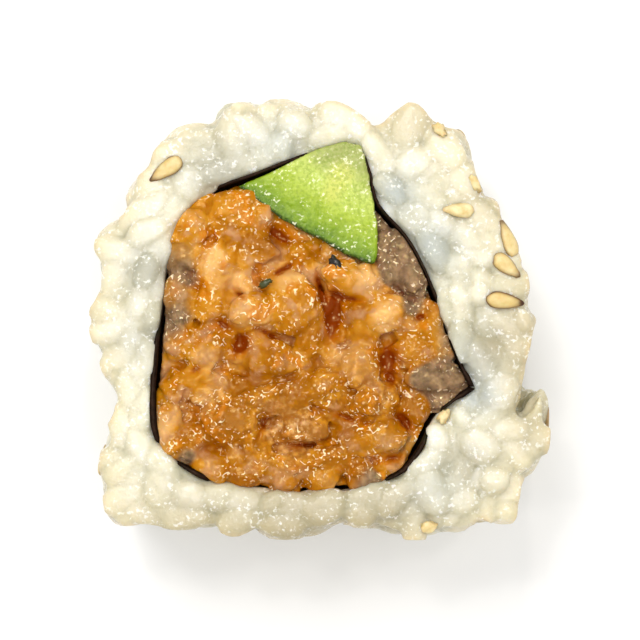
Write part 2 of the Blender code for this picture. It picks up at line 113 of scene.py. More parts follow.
# The rice's outer edge, anticlockwise from the top left, in millimetres from the middle.
RICE_EDGE = (
    (-10.5, 19.6), (-12.3, 19.5), (-14.1, 19.1), (-15.6, 17.5), (-16.5, 16.1), (-16.7, 15.1), (-18.6, 13.6),
    (-19.2, 12.4), (-19.1, 10.5), (-21.6, 9.1), (-22.2, 7.2), (-22.2, 5.4), (-21.8, 2.5), (-22.6, 1.1),
    (-22.7, -0.6), (-22.1, -3.0), (-21.2, -5.7), (-20.1, -8.7), (-21.0, -10.6), (-21.6, -13.2),
    (-21.7, -15.6),
    (-21.3, -17.8), (-20.9, -19.7), (-19.7, -20.3), (-17.0, -20.3), (-15.0, -20.9), (-12.5, -20.9),
    (-10.0, -20.9), (-8.7, -21.3), (-6.2, -21.1), (-4.5, -21.8), (-2.2, -21.8), (0.3, -21.3), (2.5, -20.2),
    (3.5, -20.6), (5.6, -20.8), (7.9, -21.5), (10.7, -21.7), (12.4, -21.1), (13.9, -21.1), (14.9, -20.6),
    (15.9, -19.5), (17.3, -20.2), (19.1, -20.1), (19.6, -18.4), (20.0, -15.9), (21.3, -15.2), (22.4, -13.2),
    (22.7, -10.4), (22.6, -7.5), (21.5, -6.6), (20.2, -8.9), (19.9, -7.5), (20.1, -5.5), (20.9, -1.5),
    (21.4, 0.1), (20.8, 2.0), (20.5, 4.4), (20.0, 5.7), (19.1, 7.8), (17.9, 10.0), (17.5, 11.8),
    (15.9, 13.1),
    (15.3, 14.8), (14.9, 17.2), (13.9, 18.7), (12.6, 18.8), (11.2, 19.6), (9.7, 21.2), (8.8, 21.4),
    (7.2, 20.3), (5.7, 19.1), (4.2, 20.1), (2.5, 21.2), (0.7, 21.7), (-0.6, 21.3), (-2.3, 21.8),
    (-4.5, 21.9),
    (-7.3, 21.7), (-10.0, 21.4),
)

# The inside of the nori, anticlockwise from its pointed corner and back to it.
NORI_INSIDE = (
    (14.4, -6.5), (12.5, -2.0), (10.9, 2.6), (8.5, 7.5), (5.4, 11.2), (4.5, 14.6), (3.1, 17.0),
    (-0.6, 16.1), (-6.1, 14.0), (-11.4, 11.8), (-14.2, 7.2), (-15.3, 0.0), (-15.9, -7.8),
    (-15.1, -12.3), (-11.4, -14.9), (-5.3, -16.5), (2.5, -16.4), (7.1, -15.0), (9.3, -12.7),
    (11.2, -9.1), (14.4, -6.5),
)

# The cucumber's skin side from left to right, and its other two sides.
CUCUMBER_SKIN = (
    (-7.9, 13.1), (-5.5, 11.2), (-3.8, 10.0), (-1.3, 8.6), (0.7, 7.6), (2.7, 6.4), (5.3, 5.4),
)
CUCUMBER_BACK = (
    (5.7, 6.6), (5.7, 9.1), (5.4, 11.2), (4.9, 14.2), (4.1, 17.2), (2.2, 17.5), (0.4, 17.0), (-1.0, 16.5),
    (-3.6, 15.1),
)

# Grains that stand out at the cut: x, y, length and width in millimetres, the turn in degrees,
# and the tone from 0, grey and clear, to 1, white.
CUT_GRAINS = (
    (11.0, -16.8, 5.1, 3.5, -68, 0.8), (7.4, -17.5, 4.8, 2.9, 44, 0.6), (4.1, -19.0, 3.2, 2.9, 0, 0.5),
    (0.3, -18.4, 4.9, 3.6, 20, 0.6), (17.7, -7.0, 4.1, 3.7, 60, 1.0), (15.7, 2.8, 2.9, 2.6, 80, 0.8),
    (13.9, -1.9, 4.6, 2.7, 88, 0.3), (11.6, -11.7, 3.2, 2.7, -75, 0.9), (14.0, -9.5, 2.6, 2.0, -60, 0.7),
    (15.7, -12.2, 4.2, 3.5, -40, 1.0), (17.2, -15.7, 3.0, 2.7, 0, 0.9), (14.1, -17.7, 3.2, 2.7, 30, 0.8),
    (20.1, -0.1, 2.4, 1.8, -70, 0.9), (13.6, 5.4, 3.1, 2.9, 0, 0.7), (15.9, 3.7, 3.4, 2.6, -60, 0.6),
    (2.5, 19.6, 5.9, 3.1, -30, 0.9), (11.2, 7.0, 5.2, 2.8, -60, 0.1), (6.9, 12.9, 4.2, 2.6, -45, 0.1),
    (11.9, 9.4, 3.6, 2.8, -30, 0.8), (-3.8, 17.2, 3.5, 2.8, 80, 0.5), (-2.5, 19.2, 3.6, 3.0, -20, 0.9),
    (-12.8, 13.4, 3.9, 3.4, 60, 0.8), (-9.7, 14.6, 5.6, 2.8, 15, 0.1), (-16.9, 8.6, 4.6, 2.8, 30, 0.9),
    (-17.0, 4.6, 4.4, 2.6, 78, 0.2), (-12.6, -17.2, 3.7, 3.0, -20, 0.9), (-13.4, -19.3, 5.2, 3.0, 5, 0.6),
    (-7.8, -19.6, 4.6, 3.1, 30, 0.5), (-3.6, -20.0, 4.8, 3.0, -5, 0.6), (-4.6, -18.0, 3.4, 2.6, 20, 0.4),
    (8.9, 19.2, 4.6, 3.4, 70, 0.8), (12.5, 16.6, 4.8, 3.4, -50, 0.9), (14.2, 13.6, 4.2, 3.2, -60, 0.8),
    (9.2, 15.4, 3.8, 3.2, 20, 0.9),
)

# Lumps of fish: x, y, length and width in millimetres, the turn in degrees, the height of the
# middle, the tone from 0, amber, to 1, peach, and how much is bare grey-brown fish.
FISH_LUMPS = (
    (-13.3, 9.2, 5.0, 4.0, 20, 22.5, 0.6, 0.0), (-8.1, 10.2, 7.2, 6.0, 20, 22.0, 0.4, 0.0),
    (-12.8, 6.3, 3.8, 3.2, 60, 22.1, 0.6, 0.8), (-13.7, 1.8, 6.2, 3.4, 85, 21.9, 0.6, 0.7),
    (-10.2, 5.2, 6.0, 3.4, 75, 22.1, 0.8, 0.0), (-6.6, 0.8, 5.2, 4.0, 10, 22.4, 1.0, 0.0),
    (-2.6, 1.6, 6.0, 6.0, 0, 22.2, 0.4, 0.0), (-3.3, 3.9, 5.0, 2.2, -15, 22.5, 1.0, 0.0),
    (2.6, 3.9, 5.4, 3.8, -30, 22.2, 0.6, 0.0), (6.4, 0.6, 4.8, 3.8, 20, 22.3, 0.9, 0.0),
    (8.8, 5.4, 6.8, 3.4, -62, 21.9, 0.3, 1.0), (6.6, 6.4, 3.4, 2.6, -60, 21.7, 0.1, 0.6),
    (9.1, -3.1, 4.4, 3.2, 0, 21.9, 0.3, 0.2), (11.2, -5.5, 5.4, 3.4, -10, 22.0, 0.4, 1.0),
    (4.1, -4.5, 4.6, 4.2, 70, 22.1, 0.7, 0.0), (-9.1, -10.2, 6.4, 4.8, 10, 21.9, 0.2, 0.0),
    (-10.4, -7.6, 4.4, 3.0, 0, 22.1, 0.7, 0.4), (-5.1, -3.8, 5.0, 4.0, 0, 21.9, 0.3, 0.0),
    (-14.9, -10.0, 4.8, 2.8, 85, 22.1, 0.9, 0.1), (-14.3, -6.6, 3.6, 2.8, 80, 21.9, 0.3, 0.0),
    (-13.0, -13.2, 2.4, 2.2, 0, 22.0, 0.3, 1.0), (-7.6, -14.8, 5.0, 2.8, -5, 21.8, 0.2, 0.1),
    (-2.6, -7.5, 4.4, 3.2, 0, 21.9, 0.3, 0.0), (-1.6, -10.5, 4.6, 3.4, 0, 22.2, 0.9, 0.0),
    (0.6, -6.5, 4.4, 3.6, 20, 22.1, 0.6, 0.0), (5.5, -7.9, 5.0, 4.0, 0, 22.1, 0.7, 0.0),
    (6.6, -11.5, 4.6, 3.6, 30, 22.2, 0.7, 0.4), (3.9, -12.0, 4.0, 3.2, 0, 22.1, 0.5, 0.0),
    (4.8, -15.6, 3.6, 2.0, 10, 22.0, 0.2, 1.0), (7.1, -13.7, 3.0, 2.0, 30, 21.9, 0.1, 0.8),
    (1.0, -13.7, 5.0, 3.2, -5, 21.9, 0.5, 0.2), (-2.9, -14.2, 5.0, 3.2, 5, 21.9, 0.5, 0.0),
    (-13.8, -2.0, 3.8, 3.0, 80, 21.9, 0.6, 0.6), (-11.4, -3.1, 4.2, 3.4, 30, 22.0, 0.7, 0.0),
    (-5.3, -7.8, 5.0, 3.6, 10, 22.0, 0.6, 0.0), (10.6, -0.6, 4.6, 3.0, -62, 22.0, 0.6, 0.6),
    (-6.2, 7.4, 4.6, 3.2, -30, 21.8, 0.2, 0.1), (-1.6, 6.2, 3.8, 2.2, -30, 21.6, 0.2, 0.4),
    (12.0, -3.0, 3.2, 2.6, -70, 22.0, 0.7, 0.6), (13.2, -6.1, 3.0, 1.8, -8, 22.2, 0.4, 1.0),
    (-10.8, 1.6, 4.0, 3.4, 80, 21.9, 0.5, 0.0),
)

# Where the fish is darker all over: x, y and radius in millimetres, and how much.
FISH_DEPTHS = ((0.0, -10.5, 7.0, 0.8), (8.5, -7.0, 5.0, 0.7), (-9.0, -10.0, 6.0, 0.7), (1.2, 0.0, 2.6, 0.6),
               (-4.0, 6.8, 3.0, 0.5), (-8.6, -1.8, 2.6, 0.5))

# Crevices where dark sauce gathers: x, y, half their length and width, and depth in millimetres,
# and the turn in degrees.
CREVICES = (
    (1.4, 0.7, 2.6, 0.9, 1.3, 86), (0.1, 2.9, 2.2, 0.4, 0.9, 104), (-7.8, -2.5, 1.4, 0.9, 1.1, 60),
    (-9.4, -0.5, 1.1, 0.5, 0.7, -30), (-7.8, 2.5, 1.0, 0.4, 0.6, -40), (-3.7, 4.9, 1.6, 0.4, 0.8, 32),
    (-4.0, 8.4, 1.6, 0.7, 0.8, -35), (6.7, -3.7, 1.4, 1.0, 1.1, 60), (7.1, -5.6, 1.2, 0.7, 0.8, 88),
    (8.4, -10.0, 1.3, 0.7, 1.0, -50), (7.1, -13.6, 1.6, 0.6, 0.7, 12), (10.0, 0.3, 0.7, 0.4, 0.8, 20),
    (-1.6, -12.4, 1.8, 0.35, 0.7, 4), (-12.2, -4.9, 1.2, 0.5, 0.5, 20), (-5.0, -1.4, 1.6, 0.4, 0.7, -25),
    (3.4, 2.0, 1.4, 0.4, 0.6, -10), (-5.6, -10.6, 1.5, 0.4, 0.6, 70), (2.6, -9.6, 1.6, 0.4, 0.7, -20),
)

# Patches where the rice is bluish, or darker with painted shade: x, y and radius in millimetres,
# then how bluish it is and how much painted shade it carries there.
RICE_PATCHES = (
    (-2.0, -21.0, 8.0, 0.0, 0.9), (-14.0, -20.5, 5.0, 0.0, 0.4), (7.0, -19.0, 4.0, 0.1, 0.5),
    (20.5, -2.0, 5.0, 0.0, 0.6), (17.0, 12.0, 3.0, 0.0, 0.4), (7.6, 12.4, 2.2, 0.9, 0.0),
    (11.0, 7.2, 3.0, 0.9, 0.1), (14.0, -4.0, 3.0, 0.7, 0.1), (15.6, -7.4, 2.0, 1.0, 0.1),
    (-10.0, 14.4, 3.4, 0.7, 0.5), (-16.6, 4.8, 2.6, 0.7, 0.4), (-17.2, -2.0, 2.4, 0.5, 0.3),
    (11.4, -16.6, 3.4, 0.5, 0.0), (14.4, -14.0, 2.4, 0.3, 0.5), (-3.8, 17.2, 3.0, 0.6, 0.0),
    (9.0, 19.6, 2.4, 0.0, 0.4), (21.0, -11.0, 3.0, 0.0, 0.4), (16.5, -2.5, 2.0, 0.3, 0.4),
)

# Where the rice is pressed smooth: x, y and radius in millimetres, and how much.
PRESSED = (
    (-20.5, -7.0, 5.0, 1.0), (-18.5, -18.0, 4.5, 1.0), (-20.5, 2.5, 4.5, 0.7), (-11.0, 18.5, 3.0, 0.4),
    (12.5, 17.0, 4.0, 0.6), (19.5, -3.0, 3.0, 0.5), (19.0, -17.5, 3.0, 0.6), (16.0, 9.0, 3.0, 0.5),
)

# Sesame seeds at the cut, whole and broken: x, y, length and width in millimetres, the turn in degrees, and
# how dark the pointed end is.
CUT_SEEDS = (
    (-15.1, 14.8, 3.7, 2.2, 215, 0.7), (13.6, 10.8, 3.1, 1.9, 178, 0.0), (18.3, 8.1, 3.9, 2.1, 112, 0.5),
    (18.4, 5.2, 3.2, 2.2, -40, 0.6), (18.2, 1.9, 3.8, 2.2, -8, 1.0), (10.6, -20.3, 1.6, 1.4, 20, 0.1),
    (12.2, -9.4, 1.5, 1.2, 60, 0.0), (11.8, 18.3, 1.5, 1.2, -50, 0.1), (14.9, 13.4, 1.8, 1.1, -60, 0.2),
)
SIDE_SEEDS = 14
SEED_HEIGHT = 1.1 * MM
GOLDEN_TURN = 0.618034

# Stretches of nori that rice or fish hides: x and y in millimetres, and half the stretch.
NORI_HIDDEN = (
    (2.6, 17.2, 1.7), (0.2, 16.6, 1.6), (-12.6, 10.6, 3.2), (-14.9, 6.2, 2.6), (-15.4, 1.4, 2.6),
    (-14.9, -13.3, 1.3), (-8.4, -16.0, 2.4), (-4.0, -16.9, 2.6), (0.0, -16.9, 2.4), (4.0, -16.4, 2.4),
    (12.6, 0.2, 1.8), (11.0, -9.8, 1.3),
)

# Stretches where the nori shows its whole thickness: x and y in millimetres, and half the stretch.
NORI_BOLD = ((-16.4, -7.0, 6.0), (-11.6, -15.3, 1.8), (9.6, -13.6, 2.4), (14.6, -6.4, 1.4))


def in_metres(corners):
    """Points given in millimetres, as vectors in metres."""
    return [Vector((x * MM, y * MM)) for x, y in corners]


def curve_point(before, start, end, after, share):
    """A point on the smooth curve from start to end, a share of the way along."""
    slope = (end - before) * share
    bend = (2.0 * before - 5.0 * start + 4.0 * end - after) * share ** 2
    twist = (after - before + 3.0 * (start - end)) * share ** 3
    return 0.5 * (2.0 * start + slope + bend + twist)


def smooth_loop(corners, sharp_start):
    """Even points along a smooth closed curve, which may have one sharp corner at its start."""
    points = in_metres(corners)
    if sharp_start:
        points = [points[0]] + points + [points[-1]]
    else:
        points = [points[-1]] + points + [points[0], points[1]]
    fine = []
    for before, start, end, after in zip(points, points[1:], points[2:], points[3:]):
        fine += [curve_point(before, start, end, after, step / CURVE_STEPS) for step in range(CURVE_STEPS)]
    return even_loop(fine)


def even_loop(points):
    """The same closed curve with its points spaced evenly, starting at the first."""
    sides = list(zip(points, points[1:] + points[:1]))
    length = sum((end - start).length for start, end in sides)
    count = round(length / OUTLINE_SPACING)
    spacing = length / count
    even = []
    travelled = 0.0
    for start, end in sides:
        side = (end - start).length
        while len(even) < count and len(even) * spacing <= travelled + side:
            share = (len(even) * spacing - travelled) / side if side else 0.0
            even.append(start.lerp(end, share))
        travelled += side
    return even


def outward(loop, index):
    """The outward direction at a point of an anticlockwise loop, longer where it turns sharply."""
    before = (loop[index] - loop[index - 1]).normalized()
    after = (loop[(index + 1) % len(loop)] - loop[index]).normalized()
    side = Vector((before.y + after.y, -before.x - after.x)).normalized()
    return side / max(side.dot(Vector((before.y, -before.x))), 0.5)


def offset_loop(loop, distance):
    """The loop with each side moved outwards by a distance."""
    return [point + outward(loop, index) * distance for index, point in enumerate(loop)]


def reach_from(places, loop):
    """How far outside a closed loop each place lies, seen from above, negative inside."""
    corners = np.array([tuple(point) for point in loop])
    spans = np.roll(corners, -1, axis=0) - corners
    nearest = np.full(len(places), np.inf)
    inside = np.zeros(len(places), dtype=bool)
    for corner, span in zip(corners, spans):
        offset = places[:, :2] - corner
        share = np.clip(offset @ span / (span @ span), 0.0, 1.0)
        gap = np.hypot(*(offset - share[:, None] * span).T)
        nearest = np.minimum(nearest, gap)
        crosses = (corner[1] > places[:, 1]) != (corner[1] + span[1] > places[:, 1])
        if span[1]:
            inside ^= crosses & (offset[:, 0] < span[0] * offset[:, 1] / span[1])
    return np.where(inside, -nearest, nearest)


def reach_of(spot, loop):
    """How far outside a loop one spot lies."""
    return float(reach_from(np.array([tuple(spot)]), loop)[0])


def on_side(loop, share):
    """A point a share of the way round a loop, and the way outwards there."""
    index = round((share % 1.0) * len(loop)) % len(loop)
    return loop[index], outward(loop, index).normalized()


def scattered(loop, spacing, jitter, draw):
    """Points inside a loop on a staggered grid, each moved a little."""
    low_x, low_y = min(point.x for point in loop), min(point.y for point in loop)
    high_x, high_y = max(point.x for point in loop), max(point.y for point in loop)
    points = []
    pitch = spacing * math.sin(math.radians(60.0))
    for row in range(int((high_y - low_y) / pitch) + 1):
        for column in range(int((high_x - low_x) / spacing) + 1):
            x = low_x + spacing * (column + 0.5 * (row % 2)) + draw.uniform(-jitter, jitter)
            points.append(Vector((x, low_y + pitch * row + draw.uniform(-jitter, jitter))))
    reach = reach_from(np.array([tuple(point) for point in points]), loop)
    return [point for point, out in zip(points, reach) if out < 0.0]


def moved(loop, shift):
    """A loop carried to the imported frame's middle."""
    return [point + shift for point in loop]


def frame_shift():
    """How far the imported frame's middle lies from the middle that the outlines are measured from."""
    outer = offset_loop(smooth_loop(NORI_INSIDE, sharp_start=True), GAP + NORI_THICKNESS)
    low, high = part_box("nori")
    middle_x = (min(point.x for point in outer) + max(point.x for point in outer)) / 2.0
    middle_y = (min(point.y for point in outer) + max(point.y for point in outer)) / 2.0
    return Vector(((low[0] + high[0]) / 2.0 - middle_x, (low[1] + high[1]) / 2.0 - middle_y))


SHIFT = frame_shift()


def hidden_at(places):
    """How well rice or fish hides the nori's upper edge at each place, from 0 to 1."""
    share = np.zeros(len(places))
    for x, y, half in NORI_HIDDEN:
        away = np.hypot(places[:, 0] / MM - SHIFT.x / MM - x, places[:, 1] / MM - SHIFT.y / MM - y) / half
        share = np.maximum(share, np.clip(3.0 - 2.6 * away, 0.0, 1.0))
    return share


def hidden_share(spot):
    """The same for one spot."""
    return float(hidden_at(np.array([tuple(spot)]))[0])


def boldness(spot):
    """How wide the nori shows at a place, from 0, a thin line, to 1, its whole thickness."""
    bold = 0.0
    for x, y, half in NORI_BOLD:
        away = (spot - Vector((x * MM + SHIFT.x, y * MM + SHIFT.y))).length / (half * MM)
        bold = max(bold, min(1.0, max(0.0, 2.0 - 1.6 * away)))
    return bold * (0.75 + 0.5 * noise.noise(Vector((spot.x, spot.y, 3.0)) / MM * 0.6))


EDGE = moved(smooth_loop(RICE_EDGE, sharp_start=False), SHIFT)
INSIDE = moved(smooth_loop(NORI_INSIDE, sharp_start=True), SHIFT)
NORI_FAR = [
    point + outward(INSIDE, index) * (GAP + NORI_THIN + NORI_EXTRA * boldness(point))
    for index, point in enumerate(INSIDE)
]
HOLE = offset_loop(NORI_FAR, -0.15 * MM)
RICE_RIM = [hole.lerp(inside, hidden_share(inside)) for inside, hole in zip(INSIDE, HOLE)]
FISH_RIM = [
    inner.lerp(hole, 1.6 * hidden_share(inner)) for inner, hole in zip(offset_loop(INSIDE, 0.15 * MM), HOLE)
]
SKIN = moved(in_metres(CUCUMBER_SKIN), SHIFT)
WEDGE = even_loop(moved(in_metres(CUCUMBER_SKIN + CUCUMBER_BACK), SHIFT))


class Wire:
    """A node's socket that takes part in Python sums."""

    def __init__(self, tree, socket):
        self.tree = tree
        self.socket = socket

    def maths(self, operation, *values):
        """A Math node on this socket and other values."""
        made = self.tree.nodes.new("ShaderNodeMath")
        made.operation = operation
        for place, value in enumerate(values):
            if isinstance(value, Wire):
                self.tree.links.new(value.socket, made.inputs[place])
            else:
                made.inputs[place].default_value = value
        return Wire(self.tree, made.outputs[0])

    def __add__(self, other):
        return self.maths("ADD", self, other)

    __radd__ = __add__

    def __mul__(self, other):
        return self.maths("MULTIPLY", self, other)

    __rmul__ = __mul__

    def __sub__(self, other):
        return self.maths("SUBTRACT", self, other)

    def __rsub__(self, other):
        return self.maths("SUBTRACT", other, self)

    def held(self):
        """The value kept between 0 and 1."""
        made = self.maths("ADD", self, 0.0)
        made.socket.node.use_clamp = True
        return made


class Finish:
    """A material being made: its shader, and one method for every other node."""

    def __init__(self, name, **constants):
        self.material = bpy.data.materials.new(name)
        self.material.use_nodes = True
        self.tree = self.material.node_tree
        self.shader = self.tree.nodes["Principled BSDF"]
        for socket, value in constants.items():
            self.shader.inputs[socket.replace("_", " ")].default_value = value
        self.place = self.node("TexCoord", {}, {}, "Object")

    def node(self, kind, settings, values, output=0):
        """A node of a kind, its settings set first, then its sockets' values or links."""
        made = self.tree.nodes.new("ShaderNode" + kind)
        for name, value in settings.items():
            if name == "stops":
                self.set_stops(made.color_ramp, value)
            else:
                setattr(made, name, value)
        for name, value in values.items():
            self.put(made.inputs[name], value)
        return Wire(self.tree, made.outputs[output])

    def put(self, socket, value):
        """A value or a link for a socket."""
        if isinstance(value, Wire):
            self.tree.links.new(value.socket, socket)
        else:
            socket.default_value = value

    def set_stops(self, ramp, stops):
        """A ramp's colours at their places."""
        while len(ramp.elements) < len(stops):
            ramp.elements.new(0.5)
        for element, (position, colour) in zip(ramp.elements, stops):
            element.position = position
            element.color = (*colour, 1.0)

    def attribute(self, name):
        """A value kept on the mesh."""
        return self.node("Attribute", {"attribute_name": name}, {}, "Fac")

    def noise(self, per_mm, detail=2.0, stretch=None):
        """Cloudy noise with so many patches in a millimetre."""
        place = self.place
        if stretch:
            place = self.node("Mapping", {}, {"Vector": place, "Scale": stretch})
        values = {"Vector": place, "Scale": per_mm / MM, "Detail": detail}
        return self.node("TexNoise", {}, values, "Fac")

    def granules(self, per_mm):
        """How far each place lies from the middle of its granule, with so many granules in a millimetre."""
        values = {"Vector": self.place, "Scale": per_mm / MM, "Smoothness": 0.35}
        return self.node("TexVoronoi", {"feature": "SMOOTH_F1"}, values, "Distance")

    def apart(self, value, middle):
        """How far a value lies from a middle one."""
        offset = value - middle
        return offset.maths("ABSOLUTE", offset)

    def ramp(self, value, *stops):
        """A value turned into colours."""
        return self.node("ValToRGB", {"stops": stops}, {"Fac": value}, "Color")

    def step(self, value, low, high):
        """0 below low, 1 above high, and smooth between."""
        settings = {"interpolation_type": "SMOOTHSTEP"}
        return self.node("MapRange", settings, {"Value": value, "From Min": low, "From Max": high})

    def blend(self, first, second, share, how="MIX"):
        """One colour over another by a share."""
        settings = {"data_type": "RGBA", "blend_type": how}
        first, second = (tint if isinstance(tint, Wire) else (*tint, 1.0) for tint in (first, second))
        return self.node("Mix", settings, {0: share, 6: first, 7: second}, 2)

    def finish(self, colour, roughness, height, depth):
        """The surface's colour, roughness and fine relief, which is depth metres deep."""
        self.put(self.shader.inputs["Base Color"], colour)
        self.put(self.shader.inputs["Roughness"], roughness)
        values = {"Height": height, "Strength": 1.0, "Distance": depth}
        self.put(self.shader.inputs["Normal"], self.node("Bump", {}, values, "Normal"))
        return self.material


def rice_colour(made, tone, crease_shade):
    """Rice by tone, grey to white: bluish in patches, painted shade in darker patches, a tan edge of painted
    light with a thin painted shadow at its very edge, painted shade in creases, and white flecks as painted
    glints.
    """
    patch = made.noise(0.35, 3.0)
    cloud = made.noise(0.9, 3.0)
    mixed = (tone * 0.8 + cloud * 0.6 + patch * 0.5 - 0.4).held()
    colour = made.ramp(
        mixed, (0.05, (0.50, 0.48, 0.35)), (0.35, (0.64, 0.61, 0.45)), (0.60, (0.76, 0.72, 0.55)),
        (0.95, (0.88, 0.85, 0.72)),
    )
    colour = made.blend(colour, (0.80, 0.70, 0.45), made.step(made.attribute("rim"), 0.35, 0.95) * patch)
    colour = made.blend(colour, (0.45, 0.50, 0.50), made.attribute("cool").held() * 0.8)
    # painted shade: darker beige where the patches carry shade
    colour = made.blend(colour, (0.38, 0.31, 0.17), made.attribute("dim").held() * 0.8)
    # painted light: a tan band near the outer edge for warm light at the grazing edge, and a thin painted
    # shadow at the very edge
    edge = made.attribute("edge")
    colour = made.blend(colour, (0.76, 0.59, 0.35), made.step(edge, 0.0, 1.0) * 0.5)
    colour = made.blend(colour, (0.42, 0.27, 0.12), made.step(edge, 0.9, 1.0) * 0.35)
    # painted shade: creases, seams and grain sides darkened towards grey-beige
    colour = made.blend(colour, (0.42, 0.39, 0.24), crease_shade * 0.55)
    # painted highlight: small white flecks on the cut face stand in for wet glints
    painted_wet_glints = made.step(made.noise(2.6, 3.0), 0.54, 0.64) * made.step(made.noise(0.7, 2.0), 0.4, 0.6)
    return made.blend(colour, (1.0, 1.0, 0.97), painted_wet_glints * made.attribute("upper") * 0.6)


def rice_relief(made):
    """The fine wet grain of rice."""
    return made.noise(1.0, 3.0) * 0.4 + made.noise(2.4, 3.0) * 0.6


def rice_finish():
    """Pressed wet rice: each grain whitest at its crest, with painted shade down its sides, along the seams
    and in the hollows.
    """
    made = Finish(
        "rice_mass", Subsurface_Weight=0.8, Subsurface_Radius=(1.0, 0.88, 0.64), Subsurface_Scale=1.3 * MM,
        IOR=1.45,
    )
    # painted shade in the hollows, along the seams and down each grain's sides
    crease_shade = made.step(made.attribute("hollow"), 0.0, 0.9) * 0.6
    side = 1.0 - made.step(made.attribute("crest"), 0.0, 0.8)
    seam = made.attribute("seam") * 0.5
    colour = rice_colour(made, made.attribute("tone") - side * 0.35, (crease_shade + seam + side * 0.2).held())
    return made.finish(colour, 0.16 + made.noise(0.8) * 0.25, rice_relief(made), 0.14 * MM)


def nori_finish():
    """Damp nori: near black with a brown and a green cast, and a broken gloss."""
    made = Finish("nori_sheet", IOR=1.4, Specular_IOR_Level=0.25, Specular_Tint=(1.0, 0.7, 0.5, 1.0))
    colour = made.ramp(made.noise(1.0, 3.0), (0.35, (0.005, 0.002, 0.001)), (0.7, (0.022, 0.009, 0.005)))
    colour = made.blend(colour, (0.008, 0.013, 0.003), made.step(made.noise(0.4), 0.5, 0.7) * 0.5)
    fibres = made.noise(3.0, 4.0, (1.0, 1.0, 0.35))
    return made.finish(colour, 0.25 + fibres * 0.3, fibres, 0.12 * MM)


def filling_finish():
    """Chopped fish in sauce: amber to peach lumps, dark sauce in crevices with painted shade in the hollows,
    bare fish grey-brown, painted glints as pale flecks and dots.
    """
    made = Finish(
        "chopped_fish", Subsurface_Weight=0.35, Subsurface_Radius=(1.0, 0.4, 0.08),
        Subsurface_Scale=1.0 * MM, IOR=1.42, Specular_Tint=(1.0, 0.78, 0.34, 1.0),
    )
    patch = made.noise(0.45, 2.0)
    fine = made.noise(1.3, 3.0)
    mixed = (made.attribute("tone") * 1.3 + patch * 0.9 + fine * 0.5 - 0.85).held()
    colour = made.ramp(
        mixed, (0.05, (0.34, 0.100, 0.000)), (0.30, (0.48, 0.170, 0.000)), (0.55, (0.60, 0.250, 0.012)),
        (0.95, (0.80, 0.45, 0.150)),
    )
    pink = made.step(made.noise(0.55, 3.0), 0.50, 0.66)
    colour = made.blend(colour, (0.56, 0.31, 0.165), pink * 0.6)
    amber = made.step(made.noise(0.4, 1.0), 0.56, 0.66)
    colour = made.blend(colour, (0.60, 0.185, 0.000), amber * 0.75)
    deep = made.attribute("deep").held() * made.step(fine, 0.3, 0.6)
    colour = made.blend(colour, (0.31, 0.098, 0.003), deep)
    bare = made.ramp(fine, (0.3, (0.12, 0.070, 0.037)), (0.7, (0.34, 0.205, 0.110)))
    colour = made.blend(colour, bare, made.step(made.attribute("bare") + patch * 0.4, 0.45, 0.95))
    # painted shade: the hollows of the relief darkened
    crease_shade = made.step(made.attribute("hollow"), 0.0, 0.9)
    sauce = made.attribute("sauce") + fine * 0.6
    colour = made.blend(colour, (0.50, 0.140, 0.000), made.step(sauce, 0.4, 0.9) * 0.8)
    # darkest blend: dark sauce in the crevices together with painted shade in the hollows
    sauce_and_shade = (crease_shade * 0.7 + made.step(sauce, 0.65, 1.25)).held()
    colour = made.blend(colour, (0.22, 0.030, 0.000), sauce_and_shade)
    clusters = made.step(made.noise(0.4, 2.0), 0.40, 0.58)
    # painted highlight: short pale dashes in clusters stand in for wet glints
    painted_glint_lines = 1.0 - made.step(made.apart(made.noise(1.7, 0.0), 0.5), 0.015, 0.075)
    broken = made.step(made.noise(2.8, 0.0), 0.54, 0.62)
    colour = made.blend(colour, (1.0, 0.82, 0.55), painted_glint_lines * broken * clusters * (1.0 - sauce_and_shade))
    # painted highlight: a pale dot on each granule's crest
    granules = made.granules(1.6)
    painted_granule_glints = (1.0 - made.step(granules, 0.05, 0.30)) * clusters
    colour = made.blend(colour, (0.95, 0.66, 0.32), painted_granule_glints * 0.55)
    relief = (1.0 - granules) * clusters * 0.7 + made.noise(1.6, 2.0) * (clusters * 0.4 + 0.2)
    return made.finish(colour, 0.14 + patch * 0.14, relief * (1.0 - sauce_and_shade * 0.9), 0.18 * MM)


